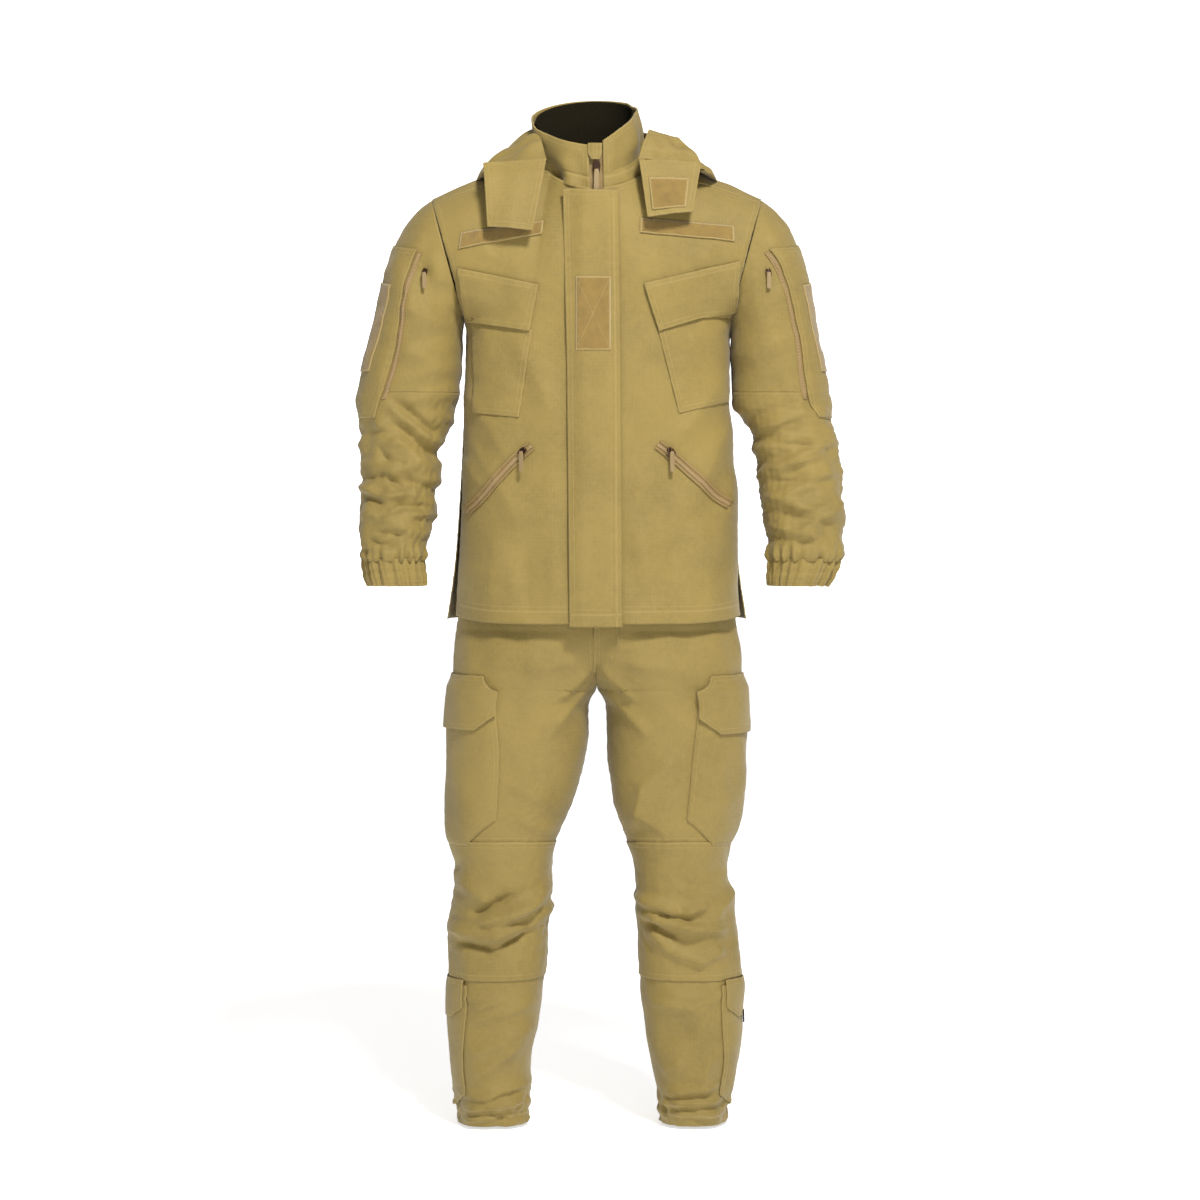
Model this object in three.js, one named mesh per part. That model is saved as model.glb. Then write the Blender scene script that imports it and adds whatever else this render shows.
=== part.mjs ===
// Two-piece field uniform: a hooded jacket over cargo trousers, standing as if worn.
// Millimetres, +Z up, -Y the front. The origin is the middle of the wearer's waist.
import * as THREE from "three";

// ---- driving dimensions ----
const WAIST_Z = 1000; // height of the waist above the trouser hems
const CLOTH = 2; // one panel with its seam allowances
const GAP = 0.6; // between two panels sewn edge to edge
const BOX = 2.5; // squareness of the torso's plan outline (2 is an ellipse)

// jacket trunk, front centre line and levels
const HEM_Z = 757, CHEST_Z = 1212, NECK_Z = 1402, COLLAR_Z = 1464, CF_LEAN = 0.06, CF_Y = -90;
const TRUNK = [ // level, half width, depth behind the middle
  [1212, 196, 100], [1092, 198, 99], [1019, 201, 103], [930, 205, 112], [841, 210, 121], [757, 218, 128],
];
// armhole: an ellipse in a plane that leans in towards the armpit
const ARM_X = 223, ARM_Z = 1300.5, ARM_RISE = 91.5, ARM_DEEP = 78, ARM_LEAN = 15.2 * Math.PI / 180;
// sleeve outline: level, inner side, outer side, half depth, middle in Y
const SLEEVE = [
  [1190, 202, 330, 76, 2], [1130, 205, 345, 72, 4], [1070, 211, 354, 66, 5], [1045, 226, 356, 63, 4],
  [1010, 238, 359, 61, 0], [970, 238, 361, 60, -6], [930, 243, 363, 58, -13], [890, 253, 362, 54, -20],
  [850, 262, 352, 45, -26], [811, 259, 343, 40, -31],
];
const CUFF_Z = 850;
const ELBOW = { y: -6, z: 1030, r: 84 }, KNEE = { y: 8, z: 335, r: 100 };
// trouser leg: level, inner side, outer side, half depth in front, half depth behind
const LEG = [
  [1000, 0.4, 176, 98, 90], [900, 0.4, 192, 105, 98], [800, 0.4, 204, 111, 107], [745, 0.4, 211, 112, 111],
  [700, 0.4, 216, 109, 109], [657, 0.4, 218, 103, 104], [635, 9, 218, 100, 100], [570, 15, 218, 97, 95],
  [490, 30, 216, 92, 90], [426, 52, 209, 86, 82], [381, 64, 202, 80, 74], [312, 68, 211, 77, 70],
  [252, 71, 216, 77, 72], [177, 76, 217, 77, 73], [102, 88, 212, 73, 70], [35, 97, 204, 66, 63], [0, 99, 203, 64, 61],
];
const CROTCH_TOP = 745, CROTCH_Z = 657, SHIN_Z = 225;

const CLOTH_COLOUR = 0xa58f58, LOOP_COLOUR = 0xaf9149, ZIP_COLOUR = 0xc6a97f, METAL_COLOUR = 0x4a3626;

// ---- small maths ----
const lerp = (a, b, t) => a + (b - a) * t;
const mix = (p, q, t) => p.map((c, i) => lerp(c, q[i], t));
const add = (p, q) => p.map((c, i) => c + q[i]);
const sub = (p, q) => p.map((c, i) => c - q[i]);
const scale = (p, s) => p.map((c) => c * s);
const dot = (p, q) => p.reduce((s, c, i) => s + c * q[i], 0);
const cross = (p, q) => [p[1] * q[2] - p[2] * q[1], p[2] * q[0] - p[0] * q[2], p[0] * q[1] - p[1] * q[0]];
const unit = (p) => scale(p, 1 / Math.hypot(...p));
const rad = (d) => d * Math.PI / 180;

// smooth value of a table's column at a level (cubic through the rows)
function at(rows, z, col) {
  const n = rows.length;
  let i = 0;
  while (i < n - 2 && z < rows[i + 1][0]) i++;
  const slope = (k) => {
    const a = Math.max(k - 1, 0), b = Math.min(k + 1, n - 1);
    return (rows[b][col] - rows[a][col]) / (rows[b][0] - rows[a][0]);
  };
  const h = rows[i + 1][0] - rows[i][0], t = Math.min(Math.max((z - rows[i][0]) / h, 0), 1);
  const p = rows[i][col], q = rows[i + 1][col], t2 = t * t, t3 = t2 * t;
  return p * (2 * t3 - 3 * t2 + 1) + q * (3 * t2 - 2 * t3) + slope(i) * h * (t3 - 2 * t2 + t) + slope(i + 1) * h * (t3 - t2);
}

// ---- solids from surfaces ----
const group = new THREE.Group();
function put(name, geometry, colour) {
  const mesh = new THREE.Mesh(geometry, new THREE.MeshStandardMaterial({ color: colour, roughness: 0.9 }));
  mesh.name = name;
  geometry.translate(0, 0, -WAIST_Z);
  group.add(mesh);
}

// closed solid between an outer and an inner surface of (u, v); wrap joins u = 1 to u = 0
function shell(outer, inner, nu, nv, wrap = false, mirror = false) {
  const cols = wrap ? nu : nu + 1, pos = [], tri = [];
  for (const f of [outer, inner])
    for (let j = 0; j <= nv; j++)
      for (let i = 0; i < cols; i++) {
        const p = f(i / nu, j / nv);
        pos.push(mirror ? -p[0] : p[0], p[1], p[2]);
      }
  const id = (s, i, j) => s * cols * (nv + 1) + j * cols + (i % cols);
  const quad = (a, b, c, d) => tri.push(a, b, c, a, c, d);
  for (let i = 0; i < nu; i++)
    for (let j = 0; j < nv; j++) {
      quad(id(0, i, j), id(0, i + 1, j), id(0, i + 1, j + 1), id(0, i, j + 1));
      quad(id(1, i, j), id(1, i, j + 1), id(1, i + 1, j + 1), id(1, i + 1, j));
    }
  for (let i = 0; i < nu; i++) {
    quad(id(1, i, 0), id(1, i + 1, 0), id(0, i + 1, 0), id(0, i, 0));
    quad(id(0, i, nv), id(0, i + 1, nv), id(1, i + 1, nv), id(1, i, nv));
  }
  if (!wrap)
    for (let j = 0; j < nv; j++) {
      quad(id(0, 0, j), id(0, 0, j + 1), id(1, 0, j + 1), id(1, 0, j));
      quad(id(1, nu, j), id(1, nu, j + 1), id(0, nu, j + 1), id(0, nu, j));
    }
  const g = new THREE.BufferGeometry();
  g.setAttribute("position", new THREE.Float32BufferAttribute(pos, 3));
  const volume = tri.reduce((s, _, k) => {
    if (k % 3) return s;
    const [a, b, c] = [0, 1, 2].map((m) => pos.slice(tri[k + m] * 3, tri[k + m] * 3 + 3));
    return s + dot(a, cross(b, c));
  }, 0);
  if (volume < 0) for (let k = 0; k < tri.length; k += 3) [tri[k + 1], tri[k + 2]] = [tri[k + 2], tri[k + 1]];
  g.setIndex(tri);
  g.computeVertexNormals();
  return g;
}

// the surface moved by d along its normal, away from the point or line that `from` gives for a point
function offset(f, d, from) {
  const e = 0.004;
  return (u, v) => {
    const u0 = Math.max(u - e, 0), u1 = Math.min(u + e, 1), v0 = Math.max(v - e, 0), v1 = Math.min(v + e, 1);
    let n = unit(cross(sub(f(u1, v), f(u0, v)), sub(f(u, v1), f(u, v0))));
    const p = f(u, v);
    if (dot(n, sub(p, from(p))) < 0) n = scale(n, -1);
    return add(p, scale(n, d));
  };
}
const trunkAxis = (p) => [0, 0, p[2] - 15];
function panel(name, f, nu, nv, from, { lift = 0, thick = CLOTH, mirror = false, colour = CLOTH_COLOUR } = {}) {
  put(name, shell(offset(f, lift, from), offset(f, lift - thick, from), nu, nv, false, mirror), colour);
}
const bothSides = (fn) => [["right", true], ["left", false]].forEach(([side, mirror]) => fn(side, mirror));

// ---- jacket trunk ----
const frontY = (z) => CF_Y - CF_LEAN * (COLLAR_Z - z);
const bent = (s, n) => Math.sign(s) * Math.abs(s) ** (2 / n);
function trunk(angle, z) { // 0 front centre, 90 side seam, 180 back centre
  const c = Math.cos(rad(angle)), s = Math.sin(rad(angle));
  const deep = c > 0 ? -frontY(z) : at(TRUNK, z, 2);
  return [at(TRUNK, z, 1) * bent(s, BOX), -deep * bent(c, BOX), z];
}
const armUp = [Math.sin(ARM_LEAN), 0, Math.cos(ARM_LEAN)], armOut = [Math.cos(ARM_LEAN), 0, -Math.sin(ARM_LEAN)];
const armhole = (w, out = 0, less = 0) => // 0 shoulder point, 90 front, 180 armpit, 270 back
  add(add([ARM_X, -(ARM_DEEP - less) * Math.sin(rad(w)), ARM_Z], scale(armUp, (ARM_RISE - less) * Math.cos(rad(w)))), scale(armOut, out));
const neck = (b, r = 78) => { // 0 front, 180 back
  const rise = ((1 - Math.cos(rad(b))) / 2) ** 0.8;
  return [r * Math.sin(rad(b)), -17 - r * Math.cos(rad(b)), NECK_Z + 73 * rise - 1.5];
};
function coons(c0, c1, l, r) {
  return (u, v) => {
    const a = add(scale(c0(u), 1 - v), scale(c1(u), v)), b = add(scale(l(v), 1 - u), scale(r(v), u));
    const c = add(scale(mix(l(0), r(0), u), 1 - v), scale(mix(l(1), r(1), u), v));
    return sub(add(a, b), c);
  };
}
const YOKE_W = 22, YOKE_B = 60, ZIP_HALF = 8, BACK_W = -65, YOKE_BACK_Z = 1330;
const cfAngle = (z) => Math.asin((ZIP_HALF / at(TRUNK, z, 1)) ** (BOX / 2)) * 180 / Math.PI;
const frontTop = (u) => u < 0.3
  ? neck(lerp(6, YOKE_B, u / 0.3), 79)
  : mix(neck(YOKE_B, 79), armhole(YOKE_W, -GAP), (u - 0.3) / 0.7);
const frontUpper = coons(
  (u) => trunk(lerp(cfAngle(CHEST_Z), 89.8, u), CHEST_Z), frontTop,
  (v) => mix(trunk(cfAngle(CHEST_Z), CHEST_Z), frontTop(0), v),
  (v) => armhole(lerp(179, YOKE_W, v), -GAP));
const LOWER = 0.625; // share of the panel's rows below the chest line
const frontPanel = (u, v) => v <= LOWER
  ? trunk(lerp(cfAngle(lerp(HEM_Z, CHEST_Z, v / LOWER)), 89.8, u), lerp(HEM_Z, CHEST_Z, v / LOWER))
  : frontUpper(u, (v - LOWER) / (1 - LOWER));
bothSides((side, mirror) => panel(`jacket_front_${side}`, frontPanel, 10, 16, trunkAxis, { mirror }));

const seamCorner = armhole(BACK_W, -GAP);
const yokeSeam = (u) => [seamCorner[0] * u, lerp(96, seamCorner[1], u ** 2.2), lerp(YOKE_BACK_Z, seamCorner[2], u * u)];
const backUpper = coons(
  (u) => trunk(lerp(180, 90.2, u), CHEST_Z), (u) => add(yokeSeam(u), [0, 0, -GAP]),
  (v) => mix(trunk(180, CHEST_Z), add(yokeSeam(0), [0, 0, -GAP]), v), (v) => armhole(lerp(-179, BACK_W, v), -GAP));
const flip = (f, s) => (s < 0 ? [-f[0], f[1], f[2]] : f);
const backPanel = (u, v) => {
  const s = 2 * u - 1, w = Math.abs(s);
  const z = lerp(HEM_Z + 3, CHEST_Z, v / 0.78);
  return flip(v <= 0.78 ? trunk(lerp(180, 90.2, w), z) : backUpper(w, (v - 0.78) / 0.22), s);
};
panel("jacket_back", backPanel, 20, 14, trunkAxis);

// yoke over both shoulders, from the front yoke seams round the back of the neck
const yokeEdge = (b) => b < 135
  ? armhole(lerp(YOKE_W, BACK_W, (b - YOKE_B) / (135 - YOKE_B)), -GAP)
  : yokeSeam((180 - b) / 45);
const yoke = (u, v) => {
  const s = 2 * u - 1, b = lerp(180, YOKE_B + 0.6, Math.abs(s));
  return flip(mix(neck(b, 79), yokeEdge(b), v), s);
};
panel("back_yoke", yoke, 22, 5, (p) => [p[0] * 0.5, 0, 1200]);

// collar: a stand from the front zip round the neck
const collar = (u, v) => {
  const s = 2 * u - 1, b = lerp(180, 9.6, Math.abs(s)), h = (1 - Math.cos(rad(b))) / 2;
  const low = neck(b, 77), top = [73 * Math.sin(rad(b)), -17 - 74.5 * Math.cos(rad(b)), COLLAR_Z + 75 * h ** 0.6];
  return flip(mix(add(low, [0, 0, 2.5]), top, v), s);
};
panel("collar", collar, 26, 4, (p) => [0, -17, p[2]], { thick: 3 });

// ---- storm flap over the front zip, and the zip ----
const front = (x, z, out) => [x, frontY(z) - out, z]; // point in front of the centre line
function bar(rows, out, thick) { // flat piece in the centre-front plane: rows of [z, x0, x1]
  const f = (o) => (u, v) => {
    const k = Math.min(Math.floor(v * (rows.length - 1)), rows.length - 2), t = v * (rows.length - 1) - k;
    const r = mix(rows[k], rows[k + 1], t);
    return front(lerp(r[1], r[2], u), r[0], o);
  };
  return shell(f(out + thick), f(out), 1, rows.length - 1);
}
const FLAP_OUT = 9.5, FLAP_THICK = 2.4;
put("storm_flap", bar([[1397, -48, 37], [1150, -46, 38], [HEM_Z - 4, -38, 41]], FLAP_OUT, FLAP_THICK), CLOTH_COLOUR);
put("storm_flap_loop", bar([[1271, -30, 22], [1161, -30, 22]], FLAP_OUT + FLAP_THICK + 0.3, 1.6), LOOP_COLOUR);
// tape behind the panel edges with the closed teeth standing between them
const tape = [[-11.5, 3.4], [-11.5, 2.6], [-3, 2.6], [-3, 0.4], [3, 0.4], [3, 2.6], [11.5, 2.6], [11.5, 3.4]];
function strip(profile, z0, z1) { // outline in (x, depth behind the front plane), run from z0 to z1
  const n = profile.length, pos = [], tri = [];
  for (const z of [z0, z1]) for (const [x, d] of profile) pos.push(...front(x, z, -d));
  for (let i = 0; i < n; i++) { const j = (i + 1) % n; tri.push(i, j, n + j, i, n + j, n + i); }
  for (const [a, b, c] of THREE.ShapeUtils.triangulateShape(profile.map(([x, y]) => new THREE.Vector2(x, y)), []))
    tri.push(a, c, b, n + a, n + b, n + c);
  const g = new THREE.BufferGeometry();
  g.setAttribute("position", new THREE.Float32BufferAttribute(pos, 3));
  g.setIndex(tri);
  return g;
}
put("main_zip", strip(tape.map(([x, d]) => [x, d + 0.4]), HEM_Z + 6, COLLAR_Z - 4), ZIP_COLOUR);
const slider = (x0, z0, w, h) => [[z0 + h, x0 - w * 0.35, x0 + w * 0.35], [z0 + h * 0.6, x0 - w / 2, x0 + w / 2], [z0, x0 - w * 0.4, x0 + w * 0.4]];
const SLIDER_Z = 1424;
put("main_slider", bar(slider(0, SLIDER_Z, 12, 17), 0.2, 4), METAL_COLOUR);
put("main_pull", bar([[SLIDER_Z + 4.7, -2.5, 2.5], [SLIDER_Z + 2, -3.5, 3.5], [SLIDER_Z - 24, -4.5, 3.5], [SLIDER_Z - 27, -3, 2]], 4.7, 1.6), ZIP_COLOUR);
put("zip_garage", bar([[COLLAR_Z + 2, -13, 8], [COLLAR_Z - 12, -13, 8], [COLLAR_Z - 21, -9, 5]], 1.2, 4.5), CLOTH_COLOUR);

// ---- pieces on the jacket's front ----
function onFront(x, z) { // the front panel's surface at (x, z), by steps on its upper half
  if (z <= CHEST_Z) {
    const k = Math.min(Math.abs(x) / at(TRUNK, z, 1), 0.9995);
    return [x, frontY(z) * (1 - k ** BOX) ** (1 / BOX), z];
  }
  let u = Math.min(x / 215, 0.97), v = Math.min((z - CHEST_Z) / 185, 0.95);
  for (let k = 0; k < 12; k++) {
    const p = frontUpper(u, v), pu = frontUpper(u + 0.01, v), pv = frontUpper(u, v + 0.01);
    const a = (pu[0] - p[0]) / 0.01, b = (pv[0] - p[0]) / 0.01, c = (pu[2] - p[2]) / 0.01, d = (pv[2] - p[2]) / 0.01;
    const dx = x - p[0], dz = z - p[2], q = a * d - b * c;
    u = Math.min(Math.max(u + (dx * d - dz * b) / q, 0), 1);
    v = Math.min(Math.max(v + (a * dz - c * dx) / q, 0), 1);
  }
  return frontUpper(u, v);
}
const quad = (c) => (u, v) => mix(mix(c[0], c[1], u), mix(c[3], c[2], u), v); // corners: low in, low out, high out, high in
const laid = (c) => (u, v) => { const [x, z] = quad(c)(u, v); return onFront(x, z); };
const CHEST_BAG = [[121, 1068], [176, 1072], [188, 1226], [90, 1195]];
const CHEST_FLAP = [[93, 1193], [189, 1225], [203, 1290], [72, 1260]];
const CHEST_LOOP = [[66, 1336], [203, 1324], [203, 1345], [66, 1349]];
bothSides((side, mirror) => {
  panel(`chest_pocket_${side}`, laid(CHEST_BAG), 6, 8, trunkAxis, { lift: 5, thick: 3, mirror });
  panel(`chest_flap_${side}`, laid(CHEST_FLAP), 6, 3, trunkAxis, { lift: 9, thick: 2.4, mirror });
  panel(`chest_loop_${side}`, laid(CHEST_LOOP), 7, 1, trunkAxis, { lift: 2.4, thick: 1.8, mirror, colour: LOOP_COLOUR });
});

// a straight bar from a to b, w wide across and between two heights above that line
function beam(a, b, across, up, sections) { // sections: [share of the length, half width, low, high]
  const dir = sub(b, a);
  const f = (k) => (u, v) => {
    const i = Math.min(Math.floor(v * (sections.length - 1)), sections.length - 2), t = v * (sections.length - 1) - i;
    const s = mix(sections[i], sections[i + 1], t);
    return add(add(add(a, scale(dir, s[0])), scale(across, lerp(-s[1], s[1], u))), scale(up, s[k]));
  };
  return [f(3), f(2), 1, sections.length - 1];
}
// hand-pocket zips: straight, slanting down to the side, clear of the curve of the panel
const HAND_A = add(onFront(100, 1016), [3, -5, 0]), HAND_B = add(onFront(182, 932), [6, -5, 0]);
const handDir = unit(sub(HAND_B, HAND_A));
const handMid = onFront(142, 973), handUp = (() => {
  const n = unit(cross(sub(onFront(147, 973), onFront(137, 973)), sub(onFront(142, 978), onFront(142, 968))));
  const m = n[1] < 0 ? n : scale(n, -1);
  return unit(sub(m, scale(handDir, dot(m, handDir))));
})();
const handAcross = cross(handDir, handUp);
const handLift = dot(sub(handMid, HAND_A), handUp); // the panel's middle stands this far above the line
const HAND_L = Math.hypot(...sub(HAND_B, HAND_A));
const SLEEVE_A = 80, HAND_H = handLift + 1;
bothSides((side, mirror) => {
  const zip = beam(HAND_A, HAND_B, handAcross, handUp, [[-0.03, 6.5, HAND_H, HAND_H + 1.6], [1, 6.5, HAND_H, HAND_H + 1.6]]);
  put(`hand_zip_${side}`, shell(...zip, false, mirror), ZIP_COLOUR);
  const k = (mm) => mm / HAND_L;
  const body = beam(HAND_A, HAND_B, handAcross, handUp, [[k(0), 3.5, HAND_H + 1.9, HAND_H + 5], [k(6), 5, HAND_H + 1.9, HAND_H + 5.6], [k(14), 3.8, HAND_H + 1.9, HAND_H + 5]]);
  put(`hand_slider_${side}`, shell(...body, false, mirror), METAL_COLOUR);
});

// ---- sleeves ----
function sleeveRing(a, z, less = 0) { // 0 outer side, 90 front, 180 inner side
  const x0 = at(SLEEVE, z, 1) + less, x1 = at(SLEEVE, z, 2) - less, c = Math.cos(rad(a)), s = Math.sin(rad(a));
  return [(x0 + x1) / 2 + (x1 - x0) / 2 * bent(c, 2.2), at(SLEEVE, z, 4) - (at(SLEEVE, z, 3) - less) * bent(s, 2.2), z];
}
const CAP_Z = 1190;
function cap(a, t, less = 0) { // from the armhole (0) to the level where the sleeve hangs plumb (1)
  const p0 = armhole(a, 0.5, less), p3 = sleeveRing(a, CAP_Z, less), d = sub(p3, p0), len = Math.hypot(...d), top = (1 + Math.cos(rad(a))) / 2;
  const p1 = add(p0, scale(unit(add(scale(armOut, 0.9 * top), scale(d, (1 - 0.55 * top) / len))), 0.38 * len));
  const p2 = add(p3, scale(unit(sub(sleeveRing(a, CAP_Z, less), sleeveRing(a, CAP_Z - 20, less))), 0.36 * len));
  return mix(mix(mix(p0, p1, t), mix(p1, p2, t), t), mix(mix(p1, p2, t), mix(p2, p3, t), t), t);
}
// level where a tube meets the round of radius r about a bending axis, above or below it
function bendLevel(ring, a, bend, r, sign, less) {
  let z = bend.z + sign * r * 0.8;
  for (let k = 0; k < 40; k++) z = (z + bend.z + sign * Math.sqrt(Math.max(r * r - (ring(a, z, less)[1] - bend.y) ** 2, 1))) / 2;
  return z;
}
const upperSleeve = (less) => (u, v) => {
  const a = 360 * u, low = bendLevel(sleeveRing, a, ELBOW, ELBOW.r, 1, less);
  return v < 0.6 ? cap(a, v / 0.6, less) : sleeveRing(a, lerp(CAP_Z, low, (v - 0.6) / 0.4), less);
};
const foreSleeve = (less) => (u, v) => {
  const a = 360 * u, top = bendLevel(sleeveRing, a, ELBOW, ELBOW.r - 4 * GAP, 1, less);
  return sleeveRing(a, lerp(top, CUFF_Z, v), less);
};
const cuff = (less) => (u, v) => sleeveRing(360 * u, lerp(CUFF_Z - GAP, 811, v), less);
bothSides((side, mirror) => {
  put(`upper_sleeve_${side}`, shell(upperSleeve(0), upperSleeve(CLOTH), 24, 8, true, mirror), CLOTH_COLOUR);
  put(`forearm_sleeve_${side}`, shell(foreSleeve(0), foreSleeve(CLOTH), 24, 6, true, mirror), CLOTH_COLOUR);
  put(`cuff_${side}`, shell(cuff(0), cuff(4), 20, 2, true, mirror), CLOTH_COLOUR);
});
// pocket on the outer front of the upper sleeve, its loop field and its zip
const PATCH_TOP = 1300, PATCH_LOW = 1119;
const onSleeve = (a, z) => {
  if (z <= CAP_Z) return sleeveRing(a, z);
  let lo = 0, hi = 1;
  for (let k = 0; k < 24; k++) { const m = (lo + hi) / 2; cap(a, m)[2] > z ? (lo = m) : (hi = m); }
  return cap(a, lo);
};
const sleeveAxis = (p) => [mix([ARM_X, 0, 0], [275, 4, 0], Math.min((1330 - p[2]) / 140, 1))[0], 2, p[2] - 20];
const sleevePocket = (u, v) => {
  const z = lerp(PATCH_LOW, lerp(1285, PATCH_TOP, u), v);
  return onSleeve(lerp(-8, lerp(72, 62, v), u), z);
};
// flat loop field: its plane touches the pocket's outside
const LOOP_N = unit([0.93, -0.34, 0.19]), LOOP_UP = unit(sub([0, 0, 1], scale(LOOP_N, LOOP_N[2]))), LOOP_ACROSS = cross(LOOP_UP, LOOP_N);
const LOOP_W = 50, LOOP_H = 122, loopAt = onSleeve(20, 1196);
const loopOut = (() => {
  let most = -1e9;
  for (let i = 0; i <= 40; i++) for (let j = 0; j <= 20; j++) {
    const p = sub(sleevePocket(i / 40, j / 20), loopAt);
    if (Math.abs(dot(p, LOOP_ACROSS)) < LOOP_W / 2 + 4 && Math.abs(dot(p, LOOP_UP)) < LOOP_H / 2 + 4) most = Math.max(most, dot(p, LOOP_N));
  }
  return most + 4.2;
})();
const loopPlate = (out) => (u, v) => add(add(add(loopAt, scale(LOOP_N, out)), scale(LOOP_ACROSS, lerp(-LOOP_W / 2, LOOP_W / 2, u))), scale(LOOP_UP, lerp(-LOOP_H / 2, LOOP_H / 2, v)));
const SZ_TOP = onSleeve(SLEEVE_A, 1283), SZ_LOW = onSleeve(SLEEVE_A - 2, 1165);
const szUp = (() => {
  const p = onSleeve(SLEEVE_A, 1225), q = sleeveAxis(p), d = unit(sub(SZ_LOW, SZ_TOP)), n = unit([p[0] - q[0], p[1] - q[1], 0]);
  return unit(sub(n, scale(d, dot(n, d))));
})();
const szDir = unit(sub(SZ_LOW, SZ_TOP)), szAcross = cross(szDir, szUp), SZ_L = Math.hypot(...sub(SZ_LOW, SZ_TOP));
const SZ_H = (() => {
  let most = 0;
  for (let i = -2; i <= 22; i++) for (const da of [-6, 0, 6]) {
    const p = onSleeve(SLEEVE_A + da, lerp(1283, 1165, i / 20));
    most = Math.max(most, dot(sub(p, SZ_TOP), szUp));
  }
  return most + 0.8;
})();
bothSides((side, mirror) => {
  panel(`sleeve_pocket_${side}`, sleevePocket, 8, 8, sleeveAxis, { lift: 3.6, thick: 3, mirror });
  put(`sleeve_loop_${side}`, shell(loopPlate(loopOut + 1.6), loopPlate(loopOut), 1, 1, false, mirror), LOOP_COLOUR);
  const k = (mm) => mm / SZ_L;
  const body = beam(SZ_TOP, SZ_LOW, szAcross, szUp, [[k(0), 3, SZ_H, SZ_H + 3.2], [k(5), 4.2, SZ_H, SZ_H + 3.8], [k(12), 3.2, SZ_H, SZ_H + 3.2]]);
  put(`sleeve_slider_${side}`, shell(...body, false, mirror), METAL_COLOUR);
});
// zip pulls hang plumb from their sliders
function pull(name, at0, out, w, length, mirror) {
  const across = unit([-out[1], out[0], 0]);
  put(name, shell(...beam(at0, add(at0, [0, 0, -length]), across, out, [[-0.02, w * 0.35, -0.7, 0.7], [0.1, w / 2, -0.7, 0.7], [0.9, w / 2, -0.7, 0.7], [1, w * 0.3, -0.7, 0.7]]), false, mirror), ZIP_COLOUR);
}
const flat2 = (n) => unit([n[0], n[1], 0]);
const HAND_PIN = add(add(add(HAND_A, scale(handDir, 7)), scale(handUp, HAND_H + 5.6)), scale(flat2(handUp), 1.6));
const SZ_PIN = add(add(add(SZ_TOP, scale(szDir, 6)), scale(szUp, SZ_H + 3.8)), scale(flat2(szUp), 1.6));
bothSides((side, mirror) => {
  pull(`hand_pull_${side}`, HAND_PIN, flat2(handUp), 7, 30, mirror);
  pull(`sleeve_pull_${side}`, SZ_PIN, flat2(szUp), 6, 24, mirror);
});

// ---- hood, folded down round the collar ----
function roll(path, n, m, mirror = false) { // solid pad along a path of [x, y, z, half width, half height]
  const f = (u, v) => {
    const k = Math.min(v * (path.length - 1), path.length - 1.0001), i = Math.floor(k);
    const p = mix(path[i], path[i + 1], k - i), q0 = path[Math.max(i, 0)], q1 = path[i + 1];
    const d = unit([q1[0] - q0[0], q1[1] - q0[1], 0]), w = [-d[1], d[0], 0];
    const b = [Math.max(i - 1, 0), Math.min(i + 2, path.length - 1)].map((j) => path[j]);
    const e = unit([b[1][0] - b[0][0], b[1][1] - b[0][1], 0]), s = unit(mix(w, [-e[1], e[0], 0], 0.7));
    return add(add(p.slice(0, 3), scale(s, p[3] * Math.cos(2 * Math.PI * u))), [0, 0, p[4] * Math.sin(2 * Math.PI * u)]);
  };
  const pos = [], tri = [];
  for (let j = 0; j <= m; j++) for (let i = 0; i < n; i++) pos.push(...f(i / n, j / m));
  for (let j = 0; j < m; j++) for (let i = 0; i < n; i++) {
    const a = j * n + i, b = j * n + (i + 1) % n;
    tri.push(a, b, b + n, a, b + n, a + n);
  }
  for (const end of [0, m]) {
    const c = pos.length / 3, s = end * n;
    pos.push(...path[end ? path.length - 1 : 0].slice(0, 3));
    for (let i = 0; i < n; i++) { const j = (i + 1) % n; end ? tri.push(s + i, s + j, c) : tri.push(s + j, s + i, c); }
  }
  if (mirror) for (let k = 0; k < pos.length; k += 3) pos[k] = -pos[k];
  const g = new THREE.BufferGeometry();
  g.setAttribute("position", new THREE.Float32BufferAttribute(pos, 3));
  let volume = 0;
  for (let k = 0; k < tri.length; k += 3) {
    const [a, b, c] = [0, 1, 2].map((q) => pos.slice(tri[k + q] * 3, tri[k + q] * 3 + 3));
    volume += dot(a, cross(b, c));
  }
  if (volume < 0) for (let k = 0; k < tri.length; k += 3) [tri[k + 1], tri[k + 2]] = [tri[k + 2], tri[k + 1]];
  g.setIndex(tri);
  return g;
}
const HALF_ROLL = [[118, -62, 1440, 30, 10], [124, -25, 1452, 33, 15], [118, 15, 1466, 33, 20], [96, 55, 1478, 28, 24], [60, 90, 1484, 22, 26], [0, 104, 1486, 20, 26]];
const fullRoll = [...HALF_ROLL, ...HALF_ROLL.slice(0, -1).reverse().map(([x, ...r]) => [-x, ...r])];
put("hood_neck", roll(fullRoll, 14, 30), CLOTH_COLOUR);
const hoodBag = (out) => (u, v) => {
  const s = 2 * u - 1, w = lerp(112, 74, v ** 1.6), x = w * s, z = lerp(1452, 1262, v);
  return [x, lerp(128, 124, v) + out - 22 * s * s + 6 * Math.sin(Math.PI * v), z - 16 * (1 - s * s) * v];
};
put("hood_bag", shell(hoodBag(13), hoodBag(0), 8, 6), CLOTH_COLOUR);
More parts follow.
